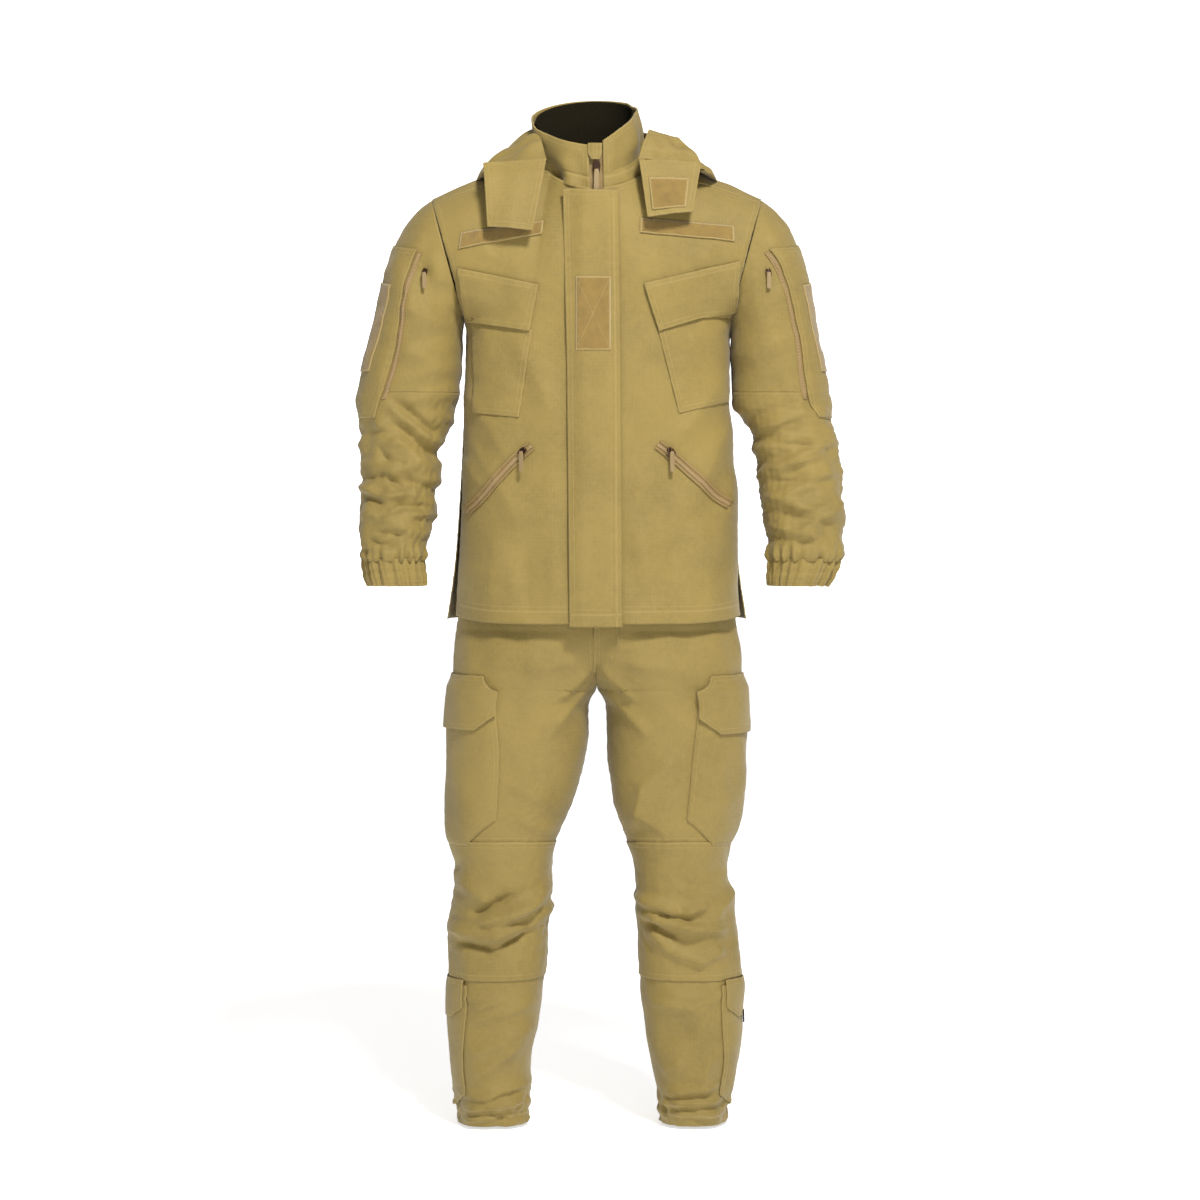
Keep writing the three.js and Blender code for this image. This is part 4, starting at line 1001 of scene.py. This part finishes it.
for side, s in SIDES:
    u, v = np.meshgrid(np.linspace(0, 1, 64), np.linspace(0, 1, 110))
    z = lerp(1062, lerp(1322, 1312, u), v)
    a = lerp(station(SLEEVE_BAG[s], z, 2), station(SLEEVE_BAG[s], z, 1), u)
    full = 3.2 * (1 - np.abs(2 * u - 1) ** 6) * (1 - np.abs(2 * v - 1) ** 10)
    bag = cloth(f"sleeve_pocket_bag_{side}", place(on_sleeve(a, z, s, 2.0 + full), s), [s * 270, 0, 1150],
                {"l": 0, "r": 0, "b": 0, "t": 0}, thick=1.8)
    bend_at_elbow(bag)
    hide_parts(f"sleeve_pocket_{side}")
    u, v = np.meshgrid(np.linspace(0, 1, 44), np.linspace(0, 1, 80))
    z = lerp(1131, lerp(1264, 1259, u), v)
    edge = {-1: (4, 45), 1: (2, 38)}[s]
    a = lerp(edge[0], edge[1], u) - 6 * (1 - v)
    patch = cloth(f"sleeve_loop_field_{side}",
                  place(on_sleeve(a, z, s, 6.6 + 0.7 * (1 - np.abs(2 * u - 1) ** 8)), s),
                  [s * 270, 0, 1150],
                  {"l": 0, "r": 0, "b": 0, "t": 0}, thick=1.4, pucker=0.1,
                  paint=loops)
    no_cross(patch)
    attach(patch, f"upper_arm_{side}")
    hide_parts(f"sleeve_loop_{side}")
    u, v = np.meshgrid(np.linspace(-1, 1, 21), np.linspace(0, 1, 120))
    z = lerp(1090, 1306, v)
    a = station(SLEEVE_BAG[s], z, 1) + 4.2 + u * 3.4
    ridge = 1.6 * smooth(0.45, 0.2, np.abs(u))
    strip = cloth(f"sleeve_zip_strip_{side}", place(on_sleeve(a, z, s, 0.9 + ridge), s), [s * 270, 0, 1150],
                  thick=1.0, pucker=0.0, paint=zip_look)
    store(strip, "middle", np.abs(u) * 5.4)
    bend_at_elbow(strip)
    soften(f"sleeve_slider_{side}", bronze, 0.6)
    soften(f"sleeve_pull_{side}", pull_plastic, 0.5)

# ---- hood ----
# The hood lies folded down: a soft roll round the collar over both shoulders, its bag hanging on the
# back, and its two front tabs brought forward over the collar bones, one with a loop square.
NECK_EDGE = np.array([(74, -92, 1442), (82, -55, 1474), (88, -8, 1490), (68, 52, 1501), (36, 76, 1507),
                      (0, 82, 1508)], float)
DROP_EDGE = np.array([(166, -86, 1428), (175, -50, 1421), (178, -4, 1417), (142, 76, 1434), (74, 118, 1458),
                      (0, 132, 1466)], float)
ROLL_FOLDS = {
    -1: [(128, -62, -9, 16), (100, -40, 5, 9), (150, -38, 4, 9), (126, -14, -4, 9), (110, 22, 5, 11),
         (96, 62, -4, 11)],
    1: [(140, -58, -7, 12), (106, -66, 4, 10), (120, -34, 5, 10), (152, -22, -4, 9), (112, 12, 4, 11),
        (100, 60, -4, 11)],
}


def along(points, t):
    """A smooth path through a few points, at t from 0 to 1."""
    knots = np.linspace(1, 0, len(points))
    return np.stack([station(np.column_stack([knots, points[:, i]]), 1 - t, 1) for i in range(3)], -1)


u, v = np.meshgrid(np.linspace(0, 1, 97), np.linspace(-1, 1, 301))
t = 1 - np.abs(v)
inner, outer = along(NECK_EDGE, t), along(DROP_EDGE, t)
laps = smooth(0.16, 0, t) * (v > 0)
inner = inner + np.array([-2, 9, -4]) * laps[..., None]
outer = outer + np.array([-6, 7, 0]) * laps[..., None]
low_side = smooth(0.1, 0.4, t) * smooth(0.95, 0.6, t) * (v > 0)
inner = inner - point(0, 0, 1) * 7 * low_side[..., None]
phi = 2 * np.pi * u
thin_end = 0.25 + 0.75 * smooth(0, 0.16, t)
puff = lerp(13, 19, smooth(0.3, 1, t)) * thin_end * (1 - 0.45 * low_side)
middle, half = (inner + outer) / 2, (outer - inner) / 2
grid = middle + half * np.cos(phi)[..., None]
up = np.where(np.sin(phi) > 0, puff * np.abs(np.sin(phi)) ** 0.8, -5 * thin_end * np.abs(np.sin(phi)))
side_of = np.where(v < 0, -1, 1)
dents = np.zeros_like(u)
for s in (-1, 1):
    here = np.zeros_like(u)
    for fx, fy, high, wide in ROLL_FOLDS[s]:
        here = here + high * np.exp(-(((grid[..., 0] - fx) ** 2 * 0.35 + (grid[..., 1] - fy) ** 2) / wide**2))
    dents = dents + here * (side_of == s)
fine = (billow(grid[..., 0] * 0.5, grid[..., 1] * 1.4, 26, 83) * 1.7
        + billow(grid[..., 0], grid[..., 1], 60, 84) * 2)
up = up + (dents + fine) * smooth(0.0, 0.5, np.sin(phi))
grid = (grid + point(0, 0, 1) * up[..., None]) * np.stack([side_of, np.ones_like(u), np.ones_like(u)], -1)
hood_roll = cloth("hood_roll", grid, [0, -17, 1300], wrap=True, thick=0)
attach(hood_roll, "jacket")
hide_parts("hood_neck")

u, v = np.meshgrid(np.linspace(0, 1, 161), np.linspace(0, 1, 80))
phi = 2 * np.pi * u
wide = lerp(112, 74, v**1.6) * (1 - 0.9 * smooth(0.93, 1, v) ** 2)
z = lerp(1470, 1262, v) - 16 * (1 - np.cos(phi) ** 2) * v
thick_here = (9 * (0.35 + 0.65 * np.sin(np.pi * np.clip(v * 0.92 + 0.08, 0, 1)))
              * (0.04 + 0.96 * smooth(0, 0.1, v) * smooth(1, 0.92, v)))
y = 127 + 6 * np.sin(np.pi * v) - 20 * np.cos(phi) ** 2 + thick_here * np.sin(phi)
grid = point(wide * np.cos(phi), y, z)
folds = creases(grid[..., 0], z, [(-70, 1440, -40, 1290, 12, 4), (60, 1440, 30, 1300, 12, 4),
                                  (0, 1430, -6, 1320, 14, 3), (-95, 1400, 60, 1330, 12, 3),
                                  (90, 1380, -20, 1290, 12, 3)])
grid = (grid + point(0, 1, 0) * ((folds + billow(grid[..., 0], z, 34, 85))
                                 * smooth(0, 0.4, np.sin(phi)))[..., None])
hood_bag = cloth("hood_bag_cloth", grid, [0, 122, 1370], wrap=True, thick=0)
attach(hood_bag, "hood_bag")
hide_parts("hood_bag")

HOOD_TAB = {
    -1: [(94, -117, 1337), (161, -112, 1343), (167, -84, 1431), (75, -89, 1437)],
    1: [(75, -112, 1357), (142, -108, 1365), (155, -83, 1440), (62, -90, 1447)],
}
for side, s in SIDES:
    corners = np.array(HOOD_TAB[s], float)
    top = 1.0 if s > 0 else 1.06
    u, v = np.meshgrid(np.linspace(0, 1, 60), np.linspace(0, top, 76))
    U, V = u[..., None], v[..., None]
    grid = lerp(lerp(corners[0], corners[1], U), lerp(corners[3], corners[2], U), V)
    out = normals(grid, [110, 0, 1390])
    bow = 2.6 * np.sin(np.pi * u) * (1 - 0.6 * v) + billow(grid[..., 0], grid[..., 2], 50, 86 + s) * 0.9
    lean = 5 * smooth(0.82, 1.06, v) if s < 0 else -1.5 * smooth(0.8, 1.0, v)
    grid = grid + out * (1.2 + bow + lean)[..., None]
    tab = cloth(f"hood_tab_{side}", place(grid, s), [s * 110, 0, 1390], {"l": 0, "r": 0, "b": 0}, thick=2.6)
    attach(tab, f"hood_flap_{side}")
    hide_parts(f"hood_flap_{side}")
    hung(tab)
    if s == 1:
        u, v = np.meshgrid(np.linspace(0, 1, 50), np.linspace(0, 1, 44))
        U, V = u[..., None], v[..., None]
        foot_edge = lerp(np.array([61.5, -91, 1444]), np.array([155.5, -84, 1437.5]), U)
        grid = lerp(foot_edge, lerp(np.array([76, -58, 1487]), np.array([120, -54, 1473]), U), V)
        rise = (6 * smooth(0, 0.3, v) + 3 * np.sin(np.pi * v)
                - 7 * np.exp(-(((u - 0.8) / 0.16) ** 2) - ((v - 0.6) / 0.16) ** 2))
        grid = (grid + normals(grid, [110, 0, 1390])
                * (rise + billow(grid[..., 0], grid[..., 2], 18, 88) * 0.8)[..., None])
        facing = cloth("hood_facing_left", grid, [110, 0, 1390], {"l": 0, "t": 6.0}, thick=2.4)
        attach(facing, "jacket")
        u, v = np.meshgrid(np.linspace(0.12, 0.83, 40), np.linspace(0.1, 0.65, 40))
        U, V = u[..., None], v[..., None]
        grid = lerp(lerp(corners[0], corners[1], U), lerp(corners[3], corners[2], U), V)
        bow = 2.6 * np.sin(np.pi * u) * (1 - 0.6 * v)
        grid = grid + normals(grid, [110, 0, 1390]) * (1.2 + bow + 1.6)[..., None]
        square = cloth("hood_tab_loop_square", grid, [110, 0, 1390], {"l": 0, "r": 0, "b": 0, "t": 0},
                       thick=1.4,
                       pucker=0.1, paint=loops)
        no_cross(square)
        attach(square, "hood_flap_left")
        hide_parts("hood_flap_loop")

# ---- trouser panels ----
# Front and back of each leg, from the waistband to the knee seam, joined by felled seams down the
# outer side and the inner leg. The fly laps over at the front under a curved row of stitches.
CROTCH_TOP, CROTCH = 745.0, 657.0
HIP = [(1000, 0.4, 176, 98, 90), (900, 0.4, 192, 105, 98), (800, 0.4, 204, 111, 107)]
LEG = {
    -1: HIP + [(745, 0.4, 211, 112, 111), (700, 0.4, 215, 109, 109), (657, 0.4, 217, 103, 104),
               (635, 12, 218, 100, 100), (570, 14, 219, 97, 95), (490, 35, 222, 92, 90),
               (426, 61, 221, 86, 82), (381, 69, 209, 80, 74), (312, 74, 220, 77, 70),
               (252, 76, 222, 77, 72), (177, 85, 222, 77, 73), (102, 98, 220, 73, 70),
               (35, 102, 211, 66, 63), (0, 103, 210, 64, 61)],
    1: HIP + [(745, 0.4, 212, 112, 111), (700, 0.4, 217, 109, 109), (657, 0.4, 219, 103, 104),
              (635, 13, 220, 100, 100), (570, 16, 220, 97, 95), (490, 25, 216, 92, 90),
              (426, 47, 202, 86, 82), (381, 59, 195, 80, 74), (312, 63, 207, 77, 70),
              (252, 64, 215, 77, 72), (177, 68, 217, 77, 73), (102, 80, 213, 73, 70), (35, 93, 198, 66, 63),
              (0, 96, 196, 64, 61)],
}
LEG_FOLDS = {
    -1: [(184, 304, 84, 342, 9, 7), (186, 320, 124, 352, 7, -6), (222, 298, 150, 286, 8, 6),
         (162, 284, 106, 306, 8, 7), (208, 280, 150, 269, 6, -5), (162, 292, 70, 362, 9, 5),
         (216, 384, 150, 330, 12, 4), (150, 271, 98, 298, 5, -5), (66, 332, 108, 300, 8, 4),
         (200, 196, 150, 190, 6, 3), (190, 178, 136, 194, 6, 3.5), (192, 160, 88, 188, 10, 3.5),
         (190, 108, 94, 152, 12, 5), (186, 72, 108, 132, 12, 5), (190, 42, 100, 62, 8, 6),
         (198, 26, 108, 40, 6, 7), (148, 16, 202, 8, 5, 5), (110, 57, 152, 47, 6, -5),
         (6, 692, 62, 640, 8, 3.5), (10, 672, 72, 588, 10, 3.5), (30, 702, 112, 690, 12, 3),
         (140, 522, 60, 482, 14, 2.5), (130, 472, 60, 440, 12, 2.5)],
    1: [(60, 346, 130, 322, 8, 7), (128, 321, 162, 337, 7, 6), (64, 323, 162, 295, 9, 7),
        (124, 307, 194, 295, 8, 6), (80, 302, 112, 264, 8, 5), (108, 267, 160, 250, 7, 5),
        (150, 250, 190, 269, 7, 5), (90, 327, 152, 306, 5, -5), (74, 311, 122, 284, 6, -5),
        (212, 362, 168, 308, 10, 4), (78, 191, 162, 176, 10, 4), (100, 201, 172, 197, 6, 3),
        (192, 206, 160, 180, 6, 2.5), (88, 128, 152, 152, 16, -2.5), (96, 84, 132, 98, 10, 2.5),
        (100, 49, 182, 63, 6, 6), (98, 36, 192, 41, 6, 7), (110, 22, 192, 20, 5, 6),
        (172, 112, 158, 60, 10, 3.5), (6, 692, 60, 640, 8, 3.5), (12, 662, 82, 584, 10, 3.5),
        (40, 697, 122, 690, 12, 3), (62, 502, 122, 562, 16, 3.5), (70, 522, 56, 450, 10, 3),
        (60, 472, 112, 440, 10, 2.5)],
}


def leg(t, z, s):
    """Leg at a place and level: t runs from 0 at the inner seam to 1 at the outer over the front, and
    on to 2 over the back. Above the crotch each leg is cut off by the middle of the body."""
    back = t > 1
    k = np.clip((CROTCH_TOP - z) / (CROTCH_TOP - CROTCH), 0, 1)
    start = np.where(z > CROTCH, np.arccos(np.clip(k, 0, 1)), 0)
    x0, x1 = station(LEG[s], z, 1), station(LEG[s], z, 2)
    deep = np.where(back, station(LEG[s], z, 4), station(LEG[s], z, 3))
    th = lerp(start, np.pi, np.where(back, 2 - t, t))
    h = (x1 - x0) / (1 + bent(np.cos(start), 2.3))
    return point(x1 - h - h * bent(np.cos(th), 2.3), np.where(back, 1, -1) * deep * bent(np.sin(th), 2.3), z)


def leg_drape(p, s):
    """Folds of a leg: deep ones behind and across the knee, a crumple at the hem, gentle waves above."""
    x, y, z = p[..., 0], p[..., 1], p[..., 2]
    knee = np.exp(-(((z - 315) / 70) ** 2))
    hem_here = smooth(70, 25, z)
    return (creases(x, z, LEG_FOLDS[s]) * np.where(y < 20, 2.0, 1.0) + billow(x + 0.7 * y, z, 75, 91 + s)
            * 1.1
            + billow(x - y, z * 1.5, 24, 95 + s) * (0.15 + 0.7 * knee + 1.8 * hem_here)) * smooth(960, 900, z)


def draped_leg(t, z, s, lift=0.0):
    """The leg with its folds added along its normals, raised by lift."""
    grid = leg(t, z, s)
    return grid + normals(grid, [140, 0, 400]) * (lift + leg_drape(grid, s))[..., None]


for side, s in SIDES:
    for part, t0, t1 in (("front", 0.003, 0.999), ("back", 1.997, 1.001)):
        u, v = np.meshgrid(np.linspace(0, 1, 112), np.linspace(0, 1, 210))
        z = lerp(423 + 5 * np.sin(np.pi * u) * (1 if part == "front" else 0), 960, v)
        grid = draped_leg(lerp(t0, t1, u), z, s)
        panel = cloth(f"trouser_{part}_panel_{side}", place(grid, s), [s * 100, 0, 600],
                      {"r": 0.4, "l": 0.6, "b": 0.4})
        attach(panel, "trousers")
        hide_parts(f"trouser_{part}_{side}")


def centre_lap(x, z, back):
    """Points just off the middle of the seat or the fly, on the curve of the two legs' sections."""
    h = ((station(LEG[1], z, 2) - 0.4)
         / (1 + bent(np.clip((CROTCH_TOP - z) / (CROTCH_TOP - CROTCH), 0, 1), 2.3)))
    c = station(LEG[1], z, 2) - h
    deep = station(LEG[1], z, 4) if back else -station(LEG[1], z, 3)
    y = deep * (1 - np.abs((c - np.abs(x)) / h) ** 2.3) ** (1 / 2.3)
    return point(x, y + (2.0 if back else -2.2) - 0.6 * np.sin(z / 30), z)


u, v = np.meshgrid(np.linspace(0, 1, 26), np.linspace(0, 1, 110))
fly = cloth("fly_lap", centre_lap(lerp(-4, 33, u), lerp(684 + 40 * np.clip(u, 0, 1) ** 3, 958, v), False),
            [10, 0, 800],
            {"r": 0, "b": 0, "l": 0}, thick=1.8)
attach(fly, "trousers")
seat = cloth("seat_seam_lap", centre_lap(lerp(-7, 7, u), lerp(672, 958, v), True), [0, 0, 800],
             {"r": 0, "l": 0}, thick=1.8)
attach(seat, "trousers")

# ---- waistband and button ----
# A doubled band round the waist, hidden by the jacket, closed by one metal button.
u, v = np.meshgrid(np.linspace(0, 2 * np.pi, 241), np.linspace(0, 1, 14))
z = lerp(962, 1000, v)
deep = np.where(np.cos(u) > 0, station(HIP + [(745, 0.4, 211, 112, 111)], z, 3),
                station(HIP + [(745, 0.4, 211, 112, 111)], z, 4))
grid = point(station(HIP, z, 2) * bent(np.sin(u), 2.3), -deep * bent(np.cos(u), 2.3), z)
grid = grid + normals(grid, [0, 0, 980], True) * (0.8 + 0.8 * np.sin(np.pi * v))[..., None]
band = cloth("waistband_cloth", grid, [0, 0, 980], {"t": 0, "b": 0}, wrap=True, thick=3.0)
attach(band, "trousers")
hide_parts("waistband")
soften("waist_button", bronze, 0.8)

# ---- knees and shins ----
# A knee piece and a shin piece close each leg below the thigh seam. The knee is cut full and sinks
# into slanting folds; the hem rests crumpled.
for side, s in SIDES:
    t, v = np.meshgrid(np.linspace(0.0001, 2.0001, 161), np.linspace(0, 1, 66))
    sag = 6 * np.sin(np.pi * np.clip(t, 0, 1))
    z = lerp(225 - sag * 0.6, 425 + sag, v)
    t = np.where(t > 1.99999, 0.0001, t)
    grid = draped_leg(t, z, s)
    grid = grid + normals(grid, [140, 0, 325], True) * (1.9 + 0 * v)[..., None]
    held = (v < 0.03) | (v > 0.97)
    knee = cloth(f"knee_cloth_{side}", place(grid, s), [s * 140, 0, 325], {"t": 0.4, "b": 0.4}, wrap=True,
                 relax=(held, 1.1))
    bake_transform(knee)
    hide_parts(f"knee_{side}")
    t, v = np.meshgrid(np.linspace(0.0001, 2.0001, 161), np.linspace(0, 1, 74))
    z = lerp(1.0 + 0 * t, 228 - 4 * np.sin(np.pi * np.clip(t, 0, 1)), v)
    t = np.where(t > 1.99999, 0.0001, t)
    grid = draped_leg(t, z, s)
    under_bag = (t > 0.68) & (t < 1.52) & (z > 30)
    held = (v > 0.97) | (v < 0.02) | under_bag
    shin = cloth(f"shin_cloth_{side}", place(grid, s), [s * 145, 0, 110], {"b": 16}, wrap=True,
                 relax=(held, 1.08))
    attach(shin, f"lower_leg_{side}")
    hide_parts(f"shin_{side}")

# ---- cargo and calf pockets ----
# Bellowed thigh pockets with a cut corner, under flaps with two cut corners, and flat calf pockets
# under smaller flaps, one with a dark woven tab. All are sewn to the outer side of the leg.
CARGO_EDGE = {-1: [(672, 0.60), (474, 0.545), (424, 0.54)], 1: [(672, 0.60), (459, 0.53), (421, 0.52)]}


def cut_corners(u, wide, near, far, high):
    """Rise of a lower edge at its cut corners: high at each end, down to 0 over the given widths."""
    rise = np.zeros_like(u)
    if near:
        rise = rise + high * np.clip(1 - u * wide / near, 0, 1)
    if far:
        rise = rise + high * np.clip(1 - (1 - u) * wide / far, 0, 1)
    return rise


for side, s in SIDES:
    u, v = np.meshgrid(np.linspace(0, 1, 92), np.linspace(0, 1, 92))
    low = 424 + cut_corners(u, 190, 36, 36, 40)
    z = lerp(low, 672, v)
    t = lerp(station(CARGO_EDGE[s], z, 1), 1.42, u)
    swell = 5.0 * (1 - np.abs(2 * u - 1) ** 8) * (1 - np.abs(2 * v - 1) ** 12)
    bag = cloth(f"cargo_pocket_bag_{side}", place(draped_leg(t, z, s, 2.0 + swell), s), [s * 130, 0, 560],
                {"l": 0, "r": 0, "b": 0, "t": 0}, thick=1.8)
    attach(bag, "trousers")
    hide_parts(f"cargo_pocket_{side}")
    u, v = np.meshgrid(np.linspace(0, 1, 92), np.linspace(0, 1, 40))
    z = lerp(592 + cut_corners(u, 200, 24, 24, 24) + (6 if s < 0 else 0), 679, v)
    t = lerp(0.585 + 0.01 * v, 1.44, u)
    lift = 9.4 - 6.5 * smooth(0.72, 1, v) + 2.0 * np.sin(np.pi * u) * (1 - v)
    lid = cloth(f"cargo_flap_cloth_{side}", place(draped_leg(t, z, s, lift), s), [s * 130, 0, 640],
                {"l": 0, "r": 0, "b": 0, "t": 0}, thick=2.2)
    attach(lid, f"cargo_flap_{side}")
    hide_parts(f"cargo_flap_{side}")
    hung(lid)
    u, v = np.meshgrid(np.linspace(0, 1, 64), np.linspace(0, 1, 84))
    z = lerp(26 + cut_corners(u, 90, 30, 0, 22), 214, v)
    t = lerp(0.70 + 0.02 * np.sin(z / 40), 1.5, u)
    calf = cloth(f"calf_pocket_bag_{side}", place(draped_leg(t, z, s, 2.6 + 1.2 * np.sin(np.pi * u)), s),
                 [s * 145, 0, 120],
                 {"l": 0, "r": 0, "b": 0}, thick=1.6)
    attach(calf, f"lower_leg_{side}")
    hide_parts(f"calf_pocket_{side}")
    u, v = np.meshgrid(np.linspace(0, 1, 64), np.linspace(0, 1, 30))
    z = lerp(164 + cut_corners(u, 100, 16, 16, 16), 222, v)
    t = lerp(0.715, 1.52, u)
    lid = cloth(f"calf_flap_cloth_{side}", place(draped_leg(t, z, s, 5.4 - 1.6 * smooth(0.8, 1, v)), s),
                [s * 145, 0, 190],
                {"l": 0, "r": 0, "b": 0, "t": 0}, thick=2.0)
    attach(lid, f"calf_flap_{side}")
    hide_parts(f"calf_flap_{side}")
    hung(lid)
    if s == 1:
        u, v = np.meshgrid(np.linspace(0, 1, 12), np.linspace(0, 1, 20))
        mark = cloth("calf_flap_woven_tab", draped_leg(lerp(0.93, 0.99, u), lerp(152, 170, v), s, 6.5),
                     [145, 0, 190],
                     thick=1.2, pucker=0, paint=fleece_and_painted_shade)
        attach(mark, "calf_flap_left")

# ---- floor, light and camera ----
# A round pale floor inside a tall white screen that only closes the view, a broad soft key in
# front with a weaker fill, and a long lens at chest height.
def pale(name, emission):
    """Pale matt material with its own soft glow."""
    pale_paint = bpy.data.materials.new(name)
    pale_paint.use_nodes = True
    shader = pale_paint.node_tree.nodes["Principled BSDF"].inputs
    shader["Base Color"].default_value = (0.97, 0.97, 0.97, 1)
    shader["Roughness"].default_value = 0.9
    shader["Emission Color"].default_value = (1, 1, 1, 1)
    shader["Emission Strength"].default_value = emission
    return pale_paint


def ring(name, profile, emission):
    """Stage piece: each (radius, height) of the profile turned once round the upright axis."""
    turn = np.linspace(0, 2 * np.pi, 97)
    rows = np.stack([np.stack([r * np.cos(turn), r * np.sin(turn), np.full(97, z)], -1) for r, z in profile])
    count = len(profile) * 97
    lower = np.arange(count).reshape(-1, 97)
    quads = np.stack([lower[:-1, :-1], lower[:-1, 1:], lower[1:, 1:], lower[1:, :-1]], -1).reshape(-1, 4)
    mesh = bpy.data.meshes.new(name)
    mesh.from_pydata(rows.reshape(-1, 3).tolist(), [], quads.tolist())
    mesh.materials.append(pale(name, emission))
    obj = bpy.data.objects.new(name, mesh)
    bpy.context.scene.collection.objects.link(obj)
    return obj


ring("floor_near", [(0.001, -1.004), (2.4, -1.004)], 0.62)
ring("floor_far", [(2.4, -1.004), (18, -1.004)], 0.72)
screen = ring("screen", [(18, -1.1), (18, 14)], 1.0)
screen.visible_diffuse = False
screen.visible_glossy = False
screen.visible_shadow = False

world = bpy.data.worlds.new("pale_room")
world.use_nodes = True
world.node_tree.nodes["Background"].inputs["Color"].default_value = (1, 0.985, 0.96, 1)
world.node_tree.nodes["Background"].inputs["Strength"].default_value = 0.37
bpy.context.scene.world = world


def soft_light(name, place_at, aim, size, power, tint=(1, 0.97, 0.92)):
    """A round lamp that faces the aim and that the camera doesn't see."""
    lamp = bpy.data.lights.new(name, "AREA")
    lamp.shape, lamp.size, lamp.energy, lamp.color = "DISK", size, power, tint
    obj = bpy.data.objects.new(name, lamp)
    obj.location = place_at
    obj.rotation_euler = (Vector(aim) - Vector(place_at)).to_track_quat("-Z", "Y").to_euler()
    obj.visible_camera = False
    bpy.context.scene.collection.objects.link(obj)


soft_light("key", (0.9, -3.0, 3.3), (0, 0, -0.15), 0.8, 275)
soft_light("fill", (0.7, -4.4, 0.2), (0, 0, -0.3), 1.2, 26)

camera = bpy.data.objects.new("camera", bpy.data.cameras.new("camera"))
camera.location = (0.005, -5.6, -0.016)
camera.rotation_euler = (Vector((0.005, -0.1, -0.208)) - camera.location).to_track_quat("-Z", "Y").to_euler()
camera.data.angle = 2 * math.atan(0.888 / 5.5)
bpy.context.scene.collection.objects.link(camera)
bpy.context.scene.camera = camera
bpy.context.scene.view_settings.view_transform = "Standard"
